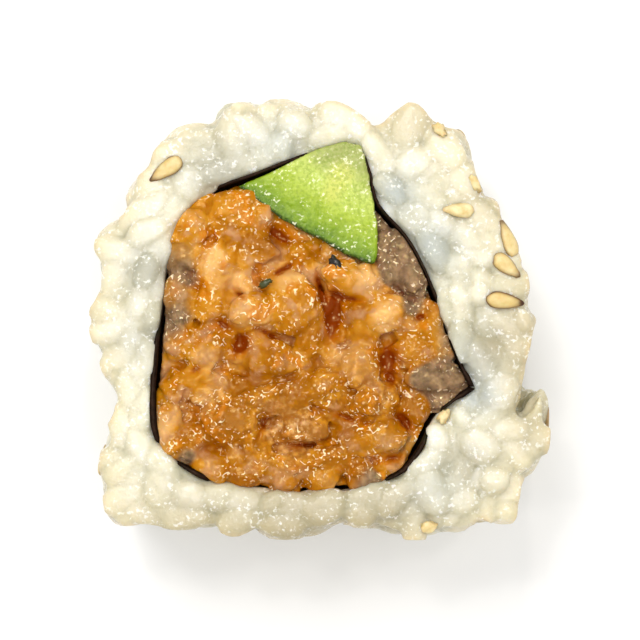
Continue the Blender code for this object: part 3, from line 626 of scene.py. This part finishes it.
def cucumber_finish():
    """Cut cucumber: lime flesh, greener towards its strip of skin, wet and grainy, with painted wet sparkles
    as pale dots.
    """
    made = Finish(
        "cucumber_flesh", Subsurface_Weight=0.25, Subsurface_Radius=(0.7, 1.0, 0.3),
        Subsurface_Scale=1.0 * MM, IOR=1.45, Specular_Tint=(1.0, 1.0, 0.6, 1.0),
    )
    depth = made.attribute("skin")
    wander = (made.noise(0.5, 3.0) - 0.5) * 3.0 + (made.noise(2.0, 2.0) - 0.5) * 1.4
    colour = made.ramp(
        (depth + wander) * 0.1, (0.03, (0.085, 0.19, 0.006)), (0.14, (0.21, 0.34, 0.010)),
        (0.34, (0.39, 0.51, 0.040)), (0.55, (0.52, 0.62, 0.13)), (0.78, (0.36, 0.40, 0.12)),
    )
    colour = made.blend(colour, (0.70, 0.70, 0.16), made.step(made.attribute("streak"), 0.2, 1.0) * 0.6)
    colour = made.blend(colour, (0.02, 0.05, 0.005), 1.0 - made.step(depth, 0.10, 0.45))
    cells = made.noise(3.0, 3.0)
    colour = made.blend(colour, (0.17, 0.28, 0.015), (1.0 - made.step(cells, 0.38, 0.52)) * 0.4)
    # painted highlight: pale dots stand in for wet sparkles on the cut flesh
    painted_wet_sparkle = made.step(cells, 0.57, 0.66) * made.step(made.noise(0.6, 2.0), 0.42, 0.6)
    colour = made.blend(colour, (0.95, 0.98, 0.70), painted_wet_sparkle * 0.75)
    relief = made.noise(1.1, 2.0) * 0.4 + made.noise(2.8, 3.0) * 0.6
    return made.finish(colour, 0.14 + made.noise(0.8) * 0.2, relief, 0.2 * MM)


def sesame_finish():
    """Toasted sesame: pale tan, with a brown rim and painted shade round its side and underside, and brown
    at the pointed end.
    """
    made = Finish("sesame_seed", Subsurface_Weight=0.15, Subsurface_Scale=0.6 * MM, IOR=1.45)
    cloud = made.noise(1.4, 3.0)
    colour = made.ramp(cloud, (0.3, (0.70, 0.52, 0.20)), (0.7, (0.90, 0.77, 0.44)))
    dark = made.attribute("tone")
    colour = made.blend(colour, (0.66, 0.46, 0.14), dark * 0.6)
    # a brown rim round the side, with painted shade darkening the side and underside below the crest
    brown_line_and_shade = 1.0 - made.step(made.attribute("crest"), 0.05, 0.6)
    colour = made.blend(colour, (0.16, 0.07, 0.02), (brown_line_and_shade * (dark + 0.25)).held())
    colour = made.blend(colour, (0.05, 0.02, 0.006), made.step(made.attribute("along"), 0.6, 0.95) * dark)
    return made.finish(colour, 0.3 + cloud * 0.15, made.noise(3.0, 2.0), 0.05 * MM)


def fleck_finish():
    """Flecks of dried herb and nori in the sauce."""
    made = Finish("dark_fleck", Coat_Weight=0.4)
    colour = made.blend((0.012, 0.008, 0.004), (0.05, 0.06, 0.012), made.attribute("tone"))
    return made.finish(colour, 0.3, made.noise(3.0, 2.0), 0.05 * MM)


def prism(loops, bottom, top):
    """A solid between two heights: the first loop is its edge, and any others are holes."""
    shape = bmesh.new()
    for loop in loops:
        corners = [shape.verts.new((point.x, point.y, bottom)) for point in loop]
        for start, end in zip(corners, corners[1:] + corners[:1]):
            shape.edges.new((start, end))
    bmesh.ops.triangle_fill(shape, use_beauty=True, use_dissolve=False, edges=shape.edges[:])
    lid = bmesh.ops.extrude_face_region(shape, geom=shape.faces[:])["geom"]
    raised = [part for part in lid if isinstance(part, bmesh.types.BMVert)]
    bmesh.ops.translate(shape, verts=raised, vec=(0.0, 0.0, top - bottom))
    bmesh.ops.recalc_face_normals(shape, faces=shape.faces[:])
    return shape


def frame_of(origin, along, outwards):
    """A placing whose X runs along a piece and whose Z points away from what it lies on."""
    away = outwards.normalized()
    ahead = (along - away * along.dot(away)).normalized()
    turn = Matrix((ahead, away.cross(ahead), away)).transposed().to_4x4()
    return Matrix.Translation(origin) @ turn


def flat_heading(degrees):
    """A level direction."""
    return Vector((math.cos(math.radians(degrees)), math.sin(math.radians(degrees)), 0.0))


def new_shape():
    """An empty shape that keeps how each corner lies in its own body."""
    shape = bmesh.new()
    for name in ("along", "crest", "tone"):
        shape.verts.layers.float.new(name)
    return shape


def add_body(shape, placing, size, sides, rings, fullness=2.5, taper=0.0, wobble=0.0, bend=0.0, tone=0.5):
    """A rounded body along its X axis, added to a shape; wobble dents it and bend curves it."""
    body = new_shape()
    bmesh.ops.create_uvsphere(body, u_segments=sides, v_segments=rings + 1, radius=1.0)
    bmesh.ops.rotate(body, verts=body.verts[:], matrix=Matrix.Rotation(math.pi / 2.0, 3, "Y"))
    kept = [body.verts.layers.float[name] for name in ("along", "crest", "tone")]
    origin = placing.translation / MM
    length, width, height = size
    for corner in body.verts:
        along = math.copysign(min(abs(corner.co.x), 1.0) ** 0.8, corner.co.x)
        around = math.hypot(corner.co.y, corner.co.z)
        girth = (1.0 - min(abs(along), 1.0) ** fullness) ** (1.0 / fullness)
        girth *= 1.0 - taper * (1.0 + along) / 2.0
        swell = girth / around if around > 0.001 else 0.0
        for layer, value in zip(kept, (along, corner.co.z * swell, tone)):
            corner[layer] = value
        dent = 1.0 + wobble * noise.noise(corner.co * 1.7 + origin)
        spot = Vector((along * length, corner.co.y * swell * width, corner.co.z * swell * height))
        spot = spot * (0.5 * dent)
        spot.y += bend * length * (along ** 2 - 0.4)
        corner.co = placing @ spot
    mesh = mesh_of(body, "body")
    shape.from_mesh(mesh)
    bpy.data.meshes.remove(mesh)


def mesh_of(shape, name):
    """A mesh from a finished shape."""
    mesh = bpy.data.meshes.new(name)
    shape.to_mesh(mesh)
    shape.free()
    return mesh


def fused(shape, name, voxel, rounds, layers=()):
    """One skin over overlapping bodies, eased by smoothing, then pushed in and out by layers of
    clouds, each given by its size and depth."""
    item = bpy.data.objects.new(name, mesh_of(shape, name))
    bpy.context.scene.collection.objects.link(item)
    skin = item.modifiers.new("skin", "REMESH")
    skin.mode = "VOXEL"
    skin.voxel_size = voxel
    ease = item.modifiers.new("ease", "SMOOTH")
    ease.factor = 0.5
    ease.iterations = rounds
    for size, depth in layers:
        clouds = bpy.data.textures.new("clouds", "CLOUDS")
        clouds.noise_scale = size
        clouds.noise_depth = 1
        push = item.modifiers.new("push", "DISPLACE")
        push.texture = clouds
        push.texture_coords = "LOCAL"
        push.strength = depth
    mesh = bpy.data.meshes.new_from_object(item.evaluated_get(bpy.context.evaluated_depsgraph_get()))
    bpy.data.objects.remove(item, do_unlink=True)
    places = places_of(mesh)
    places[:, 2] = np.maximum(places[:, 2], 0.0)
    put_places(mesh, places)
    return mesh


def places_of(mesh):
    """A mesh's vertices as an array."""
    places = np.empty(len(mesh.vertices) * 3)
    mesh.vertices.foreach_get("co", places)
    return places.reshape(-1, 3)


def put_places(mesh, places):
    """Set a mesh's vertices from an array."""
    mesh.vertices.foreach_set("co", places.ravel())
    mesh.update()


def normals_of(mesh):
    """A mesh's vertex normals as an array."""
    normals = np.empty(len(mesh.vertices) * 3)
    mesh.vertex_normals.foreach_get("vector", normals)
    return normals.reshape(-1, 3)


def eased(mesh, places, rounds):
    """The places after some rounds of averaging each with its neighbours."""
    ends = np.empty(len(mesh.edges) * 2, dtype=int)
    mesh.edges.foreach_get("vertices", ends)
    ends = ends.reshape(-1, 2)
    count = np.maximum(np.bincount(ends.ravel(), minlength=len(places)), 1)
    for _ in range(rounds):
        sums = [
            np.bincount(ends[:, 0], places[ends[:, 1], axis], len(places))
            + np.bincount(ends[:, 1], places[ends[:, 0], axis], len(places))
            for axis in range(3)
        ]
        places = 0.5 * places + 0.5 * np.column_stack(sums) / count[:, None]
    return places


def keep(mesh, name, values):
    """Keep a value for each vertex on the mesh, for its material."""
    held = mesh.attributes.new(name, "FLOAT", "POINT")
    held.data.foreach_set("value", np.asarray(values, dtype=np.float32))


def keep_hollows(mesh, rounds, depth):
    """Keep how deep each vertex lies in a hollow: 1 at the given depth, negative on a crest."""
    places = places_of(mesh)
    lift = ((eased(mesh, places, rounds) - places) * normals_of(mesh)).sum(axis=1)
    keep(mesh, "hollow", lift / depth)


def swells(places, spots, fall=1.0):
    """How strongly each place lies in soft round spots given by x, y, radius and strength."""
    total = np.zeros(len(places))
    for x, y, radius, strength in spots:
        offset = (places[:, :2] - np.array(tuple(SHIFT))) / MM - (x, y)
        total += strength * np.exp(-fall * (offset ** 2).sum(axis=1) / radius ** 2)
    return total


def crevices(places):
    """How deep each place lies in the crevices between lumps."""
    total = np.zeros(len(places))
    for x, y, half_length, half_width, depth, turn in CREVICES:
        offset = (places[:, :2] - np.array(tuple(SHIFT))) / MM - (x, y)
        cosine, sine = math.cos(math.radians(turn)), math.sin(math.radians(turn))
        along = (offset[:, 0] * cosine + offset[:, 1] * sine) / half_length
        across = (offset[:, 1] * cosine - offset[:, 0] * sine) / half_width
        total += depth * np.exp(-along ** 2 - across ** 2)
    return total


def nearest_on(places, loop):
    """The nearest point on a closed loop to each place, seen from above."""
    corners = np.array([tuple(point) for point in loop])
    spans = np.roll(corners, -1, axis=0) - corners
    offsets = places[:, None, :2] - corners
    shares = np.clip((offsets * spans).sum(axis=2) / (spans ** 2).sum(axis=1), 0.0, 1.0)
    feet = corners + shares[:, :, None] * spans
    gaps = ((feet - places[:, None, :2]) ** 2).sum(axis=2)
    return feet[np.arange(len(places)), gaps.argmin(axis=1)]


def hold(mesh, loop, keep_out):
    """Draw what lies on the wrong side of a loop back to it."""
    places = places_of(mesh)
    reach = reach_from(places, loop)
    loose = np.nonzero(reach < 0.0 if keep_out else reach > 0.0)[0]
    places[loose, :2] += (nearest_on(places[loose], loop) - places[loose, :2]) * DRAW_IN
    put_places(mesh, places)


def keep_rice_values(mesh):
    """Hold the rice to its edges. Keep where each corner lies, from nori to edge, and its patches."""
    hold(mesh, EDGE, keep_out=False)
    hold(mesh, RICE_RIM, keep_out=True)
    places = places_of(mesh)
    out = np.maximum(reach_from(places, HOLE), 0.0)
    room = np.maximum(-reach_from(places, EDGE), 0.0)
    upper = np.clip((places[:, 2] / MM - 17.0) / 5.0, 0.25, 1.0)
    keep(mesh, "upper", upper)
    keep(mesh, "rim", out / np.maximum(out + room, 0.1 * MM) * upper)
    near_edge = np.clip(1.0 - room / (0.6 * MM), 0.0, 1.0)
    near_top = np.clip((places[:, 2] / MM - 19.0) / 3.0, 0.1, 1.0)
    keep(mesh, "edge", near_edge * near_top)
    keep(mesh, "cool", swells(places, [(x, y, radius, cool) for x, y, radius, cool, _ in RICE_PATCHES]))
    keep(mesh, "dim", swells(places, [(x, y, radius, dim) for x, y, radius, _, dim in RICE_PATCHES]))


def piece(name, mesh, material, slot, *nodes):
    """A finished piece of the slice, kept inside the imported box."""
    low, high = np.array(cad_box[0]), np.array(cad_box[1])
    margin = 0.02 * MM
    put_places(mesh, np.clip(places_of(mesh), low + [margin, margin, 0.0], high - margin))
    mesh.materials.clear()
    mesh.materials.append(material)
    mesh.shade_smooth()
    item = bpy.data.objects.new(name, mesh)
    bpy.context.scene.collection.objects.link(item)
    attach(item, "root")
    if nodes:
        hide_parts(*nodes)
    return item


def grain_size(draw):
    """A grain's length, width and height."""
    return tuple(measure * draw.uniform(0.88, 1.12) for measure in (GRAIN_LENGTH, GRAIN_WIDTH, GRAIN_HEIGHT))


def side_placing(share, height, depth, draw):
    """A place for a grain lying along the rice's side."""
    spot, away = on_side(EDGE, share)
    slope = math.radians(draw.uniform(-STEEPEST, STEEPEST))
    along = Vector((-away.y * math.cos(slope), away.x * math.cos(slope), math.sin(slope)))
    origin = Vector((spot.x - away.x * depth, spot.y - away.y * depth, height))
    lean = Matrix.Rotation(draw.uniform(-0.25, 0.25), 4, "Y")
    return frame_of(origin, along, away.to_3d()) @ lean


def drop_inside(spot, draw):
    """The height of a grain's middle at the cut, lower at the very edge."""
    sink = max(0.0, 1.0 + reach_of(spot, EDGE) / (2.6 * MM))
    return draw.uniform(22.0, 22.5) * MM - sink * 0.9 * MM


def over_nori():
    """Places along the nori where it is hidden, each with the way along it and outwards."""
    found = []
    step = 5
    for index in range(0, len(INSIDE), step):
        spot, away = INSIDE[index], outward(INSIDE, index).normalized()
        if hidden_share(spot) > 0.6:
            found.append((spot, Vector((-away.y, away.x)), away))
    return found


def side_grains(draw):
    """Grains lying round the side, in uneven rows."""
    grains = []
    in_row = round(len(EDGE) * OUTLINE_SPACING / (4.6 * MM))
    for row in range(SIDE_ROWS):
        for place in range(in_row):
            share = (place + 0.5 * (row % 2) + draw.uniform(-0.25, 0.25)) / in_row
            height = (1.0 + ROW_STEP * row + draw.uniform(-0.5, 0.5)) * MM
            placing = side_placing(share, height, draw.uniform(1.1, 1.4) * MM, draw)
            grain = (placing, grain_size(draw), draw.uniform(0.3, 1.0))
            if (placing.translation.to_2d() - SHIFT - Vector(NOTCH) * MM).length > NOTCH_ROOM:
                grains.append(grain)
    return grains


def beside_nori(spot, draw):
    """A grain's level direction: along the nori when close to it, any way elsewhere."""
    away = spot - Vector(nearest_on(np.array([tuple(spot)]), HOLE)[0])
    if away.length > 2.6 * MM:
        return flat_heading(draw.uniform(0.0, 180.0))
    return flat_heading(math.degrees(math.atan2(away.x, -away.y)) + draw.uniform(-20.0, 20.0))


def cut_grains(draw):
    """Grains at the cut: the ones that stand out, others lower between them, and some over the nori."""
    grains = []
    taken = []
    for x, y, length, width, turn, tone in CUT_GRAINS:
        spot = Vector((x * MM + SHIFT.x, y * MM + SHIFT.y))
        taken.append(spot)
        placing = frame_of(spot.to_3d() + UP * (drop_inside(spot, draw) + 0.55 * MM), flat_heading(turn), UP)
        grains.append((placing, (length * MM, width * MM, 2.1 * MM), tone))
    for spacing in (3.2 * MM, 2.8 * MM):
        for spot in scattered(offset_loop(EDGE, -1.4 * MM), spacing, 0.8 * MM, draw):
            crowded = min((spot - other).length for other in taken) < 2.2 * MM
            height = drop_inside(spot, draw) - (0.7 * MM if crowded else 0.0)
            if reach_of(spot, HOLE) > 0.9 * MM:
                placing = frame_of(spot.to_3d() + UP * height, beside_nori(spot, draw), UP)
                placing = placing @ Matrix.Rotation(draw.uniform(-0.2, 0.2), 4, "Y")
                grains.append((placing, grain_size(draw), draw.uniform(0.35, 0.95)))
    for spot, along, away in over_nori():
        origin = (spot + away * 1.6 * MM).to_3d() + UP * draw.uniform(22.1, 22.4) * MM
        grains.append((frame_of(origin, along.to_3d(), UP), grain_size(draw), draw.uniform(0.35, 0.8)))
    return grains


def under_grains(draw):
    """Grains cut through at the underside."""
    grains = []
    for spot in scattered(offset_loop(EDGE, -1.6 * MM), 3.3 * MM, 0.8 * MM, draw):
        if reach_of(spot, HOLE) > 1.2 * MM:
            placing = frame_of(spot.to_3d() + UP * 1.0 * MM, flat_heading(draw.uniform(0.0, 180.0)), UP)
            grains.append((placing, grain_size(draw), draw.uniform(0.35, 0.95)))
    return grains


def keep_grains(mesh, grains):
    """Keep each corner's grain by its tone, how high the corner lies on it, and how near a seam."""
    places = places_of(mesh)
    nearest, second = np.full(len(places), 3.0), np.full(len(places), 3.0)
    tones, crests = np.full(len(places), 0.6), np.zeros(len(places))
    for placing, size, tone in grains:
        offset = places - np.array(placing.translation)
        close = np.nonzero((offset ** 2).sum(axis=1) < (0.8 * size[0]) ** 2)[0]
        local = offset[close] @ np.array(placing.to_3x3()) / (np.array(size) / 2.0)
        away = np.sqrt((local ** 2).sum(axis=1))
        closer = away < nearest[close]
        second[close] = np.where(closer, nearest[close], np.minimum(second[close], away))
        nearest[close] = np.minimum(nearest[close], away)
        tones[close] = np.where(closer, tone, tones[close])
        crests[close] = np.where(closer, local[:, 2] / np.maximum(away, 0.1), crests[close])
    keep(mesh, "tone", tones)
    keep(mesh, "crest", crests)
    keep(mesh, "seam", np.clip(1.0 - (second - nearest) / 0.22, 0.0, 1.0))


def make_rice_mass():
    """The pressed rice: a core and every grain round it and over it, under one soft skin."""
    draw = random.Random(5)
    grains = side_grains(draw) + cut_grains(draw) + under_grains(draw)
    shape = prism([offset_loop(EDGE, -RICE_CORE_SINK), HOLE], 0.0, RICE_CORE_TOP)
    for placing, size, _ in grains:
        add_body(shape, placing, size, 12, 9, wobble=0.15, bend=draw.uniform(-0.05, 0.05))
    mesh = fused(shape, "rice_mass", RICE_FINENESS, 2, ((1.6 * MM, 0.12 * MM),))
    places = places_of(mesh)
    calm = np.clip(swells(places, PRESSED), 0.0, 1.0)[:, None]
    places += (eased(mesh, places, 12) - places) * calm
    raised = np.maximum(places[:, 2] - RICE_CORE_TOP, 0.0)
    places[:, 2] -= raised * (1.0 - CUT_RELIEF) * (0.7 + 0.3 * calm[:, 0])
    put_places(mesh, places)
    keep_grains(mesh, grains)
    keep_rice_values(mesh)
    keep_hollows(mesh, 16, 0.32 * MM)
    piece("rice_mass", mesh, rice_finish(), "rice", "rice")
    return places_of(mesh), normals_of(mesh)


def seat(rice, spot, reach):
    """The middle and the direction of the rice's skin near a spot."""
    places, normals = rice
    near = ((places - np.array(tuple(spot))) ** 2).sum(axis=1) < reach ** 2
    near &= (normals @ (np.array(tuple(spot)) - (0.0, 0.0, 0.6 * spot.z))) > 0.0
    return Vector(places[near].mean(axis=0)), Vector(normals[near].mean(axis=0)).normalized()


def seat_on_top(rice, x, y, reach):
    """The same for a spot seen from above."""
    places, normals = rice
    near = (places[:, 0] - x) ** 2 + (places[:, 1] - y) ** 2 < reach ** 2
    near &= (places[:, 2] > RICE_CORE_TOP - 3.0 * MM) & (normals[:, 2] > 0.25)
    return Vector(places[near].mean(axis=0)), Vector(normals[near].mean(axis=0)).normalized()


def make_sesame(rice):
    """Sesame seeds seated on the rice: the ones beside the cut, and more spread round the side."""
    draw = random.Random(23)
    shape = new_shape()
    for x, y, length, width, turn, dark in CUT_SEEDS:
        origin, away = seat_on_top(rice, x * MM + SHIFT.x, y * MM + SHIFT.y, 1.2 * MM)
        placing = frame_of(origin + away * 0.4 * MM, flat_heading(turn), away + UP)
        whole = length > 2.5
        size = (length * MM, width * MM, SEED_HEIGHT)
        add_body(shape, placing, size, 18, 13, 2.2, 0.6 if whole else 0.3, 0.1 if whole else 0.5, tone=dark)
    for number in range(SIDE_SEEDS):
        spot, away = on_side(EDGE, (number + 0.5) / SIDE_SEEDS)
        height = (3.0 + 18.0 * ((number * GOLDEN_TURN) % 1.0)) * MM
        slope = draw.uniform(0.0, 2.0 * math.pi)
        along = Vector((-away.y * math.cos(slope), away.x * math.cos(slope), math.sin(slope)))
        origin, outwards = seat(rice, Vector((spot.x, spot.y, height)), 1.6 * MM)
        placing = frame_of(origin + outwards * 0.2 * MM, along, outwards)
        size = (3.2 * MM, 1.9 * MM, SEED_HEIGHT)
        add_body(shape, placing, size, 14, 9, 2.2, taper=0.6, tone=draw.uniform(0.0, 0.7))
    return piece("sesame_seeds", mesh_of(shape, "sesame_seeds"), sesame_finish(), "rice")


def nori_height(spot):
    """The height of the nori's upper edge: lower where it is hidden, and uneven elsewhere."""
    ripple = 0.35 * MM * noise.noise(Vector((spot.x, spot.y, 0.0)) / MM * 0.45)
    return NORI_TOP - hidden_share(spot) * 1.8 * MM + ripple


def make_nori():
    """The nori: one sheet rolled round the filling, its two ends meeting at the pointed corner."""
    near = offset_loop(INSIDE, GAP - 0.05 * MM)
    near = [near[0].lerp(near[1], 0.15)] + near[1:] + [near[0]]
    far = [NORI_FAR[0].lerp(NORI_FAR[1], 0.15)] + NORI_FAR[1:] + [NORI_FAR[0]]
    shape = prism([far + near[::-1]], NORI_BOTTOM, NORI_TOP)
    walls = [edge for edge in shape.edges if abs(edge.verts[0].co.z - edge.verts[1].co.z) > MM]
    bmesh.ops.subdivide_edges(shape, edges=walls, cuts=18, use_grid_fill=True)
    for corner in shape.verts:
        share = (corner.co.z - NORI_BOTTOM) / (NORI_TOP - NORI_BOTTOM)
        corner.co.z = NORI_BOTTOM + share * (nori_height(corner.co.to_2d()) - NORI_BOTTOM)
    return piece("nori_sheet", mesh_of(shape, "nori_sheet"), nori_finish(), "nori", "nori")


def lump_list(draw):
    """Every lump of fish: the ones listed, smaller ones between them, and some over hidden nori."""
    lumps = list(FISH_LUMPS)
    for spot in scattered(INSIDE, 3.0 * MM, 0.9 * MM, draw):
        size = draw.uniform(2.0, 3.6)
        x, y = (spot.x - SHIFT.x) / MM, (spot.y - SHIFT.y) / MM
        bare = 1.0 if (x > 6.5 and y > 0.5) or x - 0.4 * y > 13.0 else 0.0
        bare = 0.7 if x < -12.2 and 1.0 < y < 7.0 else bare
        height, turn, tone = draw.uniform(21.1, 21.8), draw.uniform(0, 180), draw.uniform(0.1, 0.8)
        if reach_of(spot, WEDGE) > (0.35 * size + 0.3) * MM:
            lumps.append((x, y, size * 1.3, size, turn, height, tone, bare))
    for spot, _, away in over_nori():
        x, y = (spot.x - SHIFT.x) / MM - away.x * 0.9, (spot.y - SHIFT.y) / MM - away.y * 0.9
        if reach_of(spot, WEDGE) > 1.5 * MM:
            lumps.append((x, y, 3.2, 2.8, draw.uniform(0, 180), 21.9, draw.uniform(0.2, 0.8), 0.3))
    return lumps


def filling_block(shape):
    """The plain lower part of the filling, joined under its chopped top."""
    block = prism([INSIDE], 0.0, FILLING_BLOCK_TOP)
    mesh = mesh_of(block, "filling_block")
    shape.from_mesh(mesh)
    bpy.data.meshes.remove(mesh)


def make_filling():
    """The chopped fish: a block, and on it lumps under one wet skin."""
    draw = random.Random(41)
    lumps = lump_list(draw)
    shape = prism([offset_loop(INSIDE, -0.1 * MM)], FILLING_BLOCK_TOP - 0.4 * MM, FILLING_CORE_TOP)
    for x, y, length, width, turn, z, tone, bare in lumps:
        origin = Vector((x * MM + SHIFT.x, y * MM + SHIFT.y, z * MM))
        placing = frame_of(origin, flat_heading(turn), UP) @ Matrix.Rotation(draw.uniform(-0.2, 0.2), 4, "Y")
        size = (length * MM, width * MM, min(width * 0.75, 2.9) * MM)
        add_body(shape, placing, size, 14, 9, 2.3, wobble=0.35)
    layers = ((1.2 * MM, 0.3 * MM), (0.5 * MM, 0.12 * MM))
    top = fused(shape, "chopped_fish", FISH_FINENESS, 2, layers)
    places = places_of(top)
    places[:, 2] -= np.where(places[:, 2] > 20.5 * MM, crevices(places) * MM, 0.0)
    put_places(top, places)
    hold(top, FISH_RIM, keep_out=False)
    keep_hollows(top, 60, 0.6 * MM)
    whole = bmesh.new()
    whole.from_mesh(top)
    filling_block(whole)
    mesh = mesh_of(whole, "chopped_fish")
    places = places_of(mesh)
    total = np.full(len(places), 1e-9)
    tones, bares = np.zeros(len(places)), np.zeros(len(places))
    for x, y, length, width, _, z, tone, bare in lumps:
        weight = swells(places, [(x, y, (length + width) / 4.0, 1.0)], 2.4)
        total += weight
        tones += weight * tone
        bares += weight * bare
    keep(mesh, "tone", tones / total)
    keep(mesh, "bare", bares / total)
    keep(mesh, "deep", swells(places, FISH_DEPTHS))
    keep(mesh, "sauce", crevices(places) * (places[:, 2] > 19.0 * MM))
    return piece("chopped_fish", mesh, filling_finish(), "filling", "filling")


def make_cucumber():
    """The cucumber wedge, cut square, its strip of skin along the fish."""
    layers = ((1.4 * MM, 0.3 * MM), (0.5 * MM, 0.15 * MM))
    mesh = fused(prism([WEDGE], 0.0, CUCUMBER_TOP), "cucumber_wedge", CUCUMBER_FINENESS, 1, layers)
    places = places_of(mesh)
    skin = np.full(len(places), np.inf)
    for start, end in zip(SKIN, SKIN[1:]):
        span = np.array(tuple(end - start))
        offset = places[:, :2] - np.array(tuple(start))
        share = np.clip(offset @ span / (span @ span), 0.0, 1.0)
        skin = np.minimum(skin, np.hypot(*(offset - share[:, None] * span).T))
    keep(mesh, "skin", skin / MM)
    keep(mesh, "streak", swells(places, [(2.2, 14.4, 1.5, 1.0), (1.2, 12.4, 1.4, 0.8)]))
    return piece("cucumber_wedge", mesh, cucumber_finish(), "cucumber", "cucumber")


def make_flecks():
    """A dark fleck and a green one in the sauce."""
    shape = new_shape()
    for x, y, length, width, turn, green in ((1.6, 5.5, 1.5, 0.9, -50, 0.0), (-5.3, 3.6, 1.3, 0.6, 25, 1.0)):
        origin = Vector((x * MM + SHIFT.x, y * MM + SHIFT.y, 23.4 * MM))
        size = (length * MM, width * MM, 0.5 * MM)
        add_body(shape, frame_of(origin, flat_heading(turn), UP), size, 12, 7, wobble=0.9, tone=green)
    return piece("sauce_flecks", mesh_of(shape, "sauce_flecks"), fleck_finish(), "filling")


def make_floor():
    """A plain pale floor."""
    shape = bmesh.new()
    bmesh.ops.create_grid(shape, x_segments=1, y_segments=1, size=3.0)
    mesh = mesh_of(shape, "floor")
    made = Finish("floor_white", Roughness=0.9)
    made.put(made.shader.inputs["Base Color"], (0.96, 0.96, 0.96, 1.0))
    mesh.materials.append(made.material)
    floor = bpy.data.objects.new("floor", mesh)
    bpy.context.scene.collection.objects.link(floor)


def add_light(name, place, size, power, tint=(1.0, 1.0, 1.0)):
    """An area light aimed at the slice."""
    lamp = bpy.data.lights.new(name, "AREA")
    lamp.shape = "DISK"
    lamp.size = size
    lamp.energy = power
    lamp.color = tint
    item = bpy.data.objects.new(name, lamp)
    item.location = place
    item.rotation_euler = (Vector((0.0, 0.0, 0.015)) - Vector(place)).to_track_quat("-Z", "Y").to_euler()
    item.visible_camera = False
    bpy.context.scene.collection.objects.link(item)


def light_scene():
    """Soft light all round, a key from the photograph's top left, and small lamps for wet glints."""
    world = bpy.data.worlds.new("soft_white")
    world.use_nodes = True
    world.node_tree.nodes["Background"].inputs["Color"].default_value = (1.0, 1.0, 1.0, 1.0)
    world.node_tree.nodes["Background"].inputs["Strength"].default_value = 0.55
    bpy.context.scene.world = world
    add_light("key", (-0.10, 0.17, 0.40), 0.16, 0.60)
    add_light("top_soft", (0.06, -0.04, 0.5), 0.30, 0.50)
    for number, (x, y, z) in enumerate(GLINTS):
        add_light(f"glint_{number}", (x, y, z), 0.02, 0.06, (1.0, 0.95, 0.88))


def place_camera():
    """A camera straight above, framed so that the cut face has the photograph's scale and place."""
    camera = bpy.data.cameras.new("camera")
    camera.lens = LENS
    camera.sensor_width = SENSOR
    camera.clip_start = 0.01
    item = bpy.data.objects.new("camera", camera)
    half_width = IMAGE_PIXELS / 2.0 / PIXELS_PER_MM * MM
    distance = half_width * LENS / (SENSOR / 2.0)
    middle_x = (IMAGE_PIXELS / 2.0 - PHOTO_MIDDLE[0]) / PIXELS_PER_MM * MM
    middle_y = (PHOTO_MIDDLE[1] - IMAGE_PIXELS / 2.0) / PIXELS_PER_MM * MM
    item.location = (middle_x + SHIFT.x, middle_y + SHIFT.y, SCALE_PLANE + distance)
    bpy.context.scene.collection.objects.link(item)
    bpy.context.scene.camera = item


def set_view():
    """Colours shown as they are."""
    view = bpy.context.scene.view_settings
    view.view_transform = "Standard"
    view.look = "None"


rice_skin = make_rice_mass()
make_sesame(rice_skin)
make_nori()
make_filling()
make_cucumber()
make_flecks()
make_floor()
light_scene()
place_camera()
set_view()
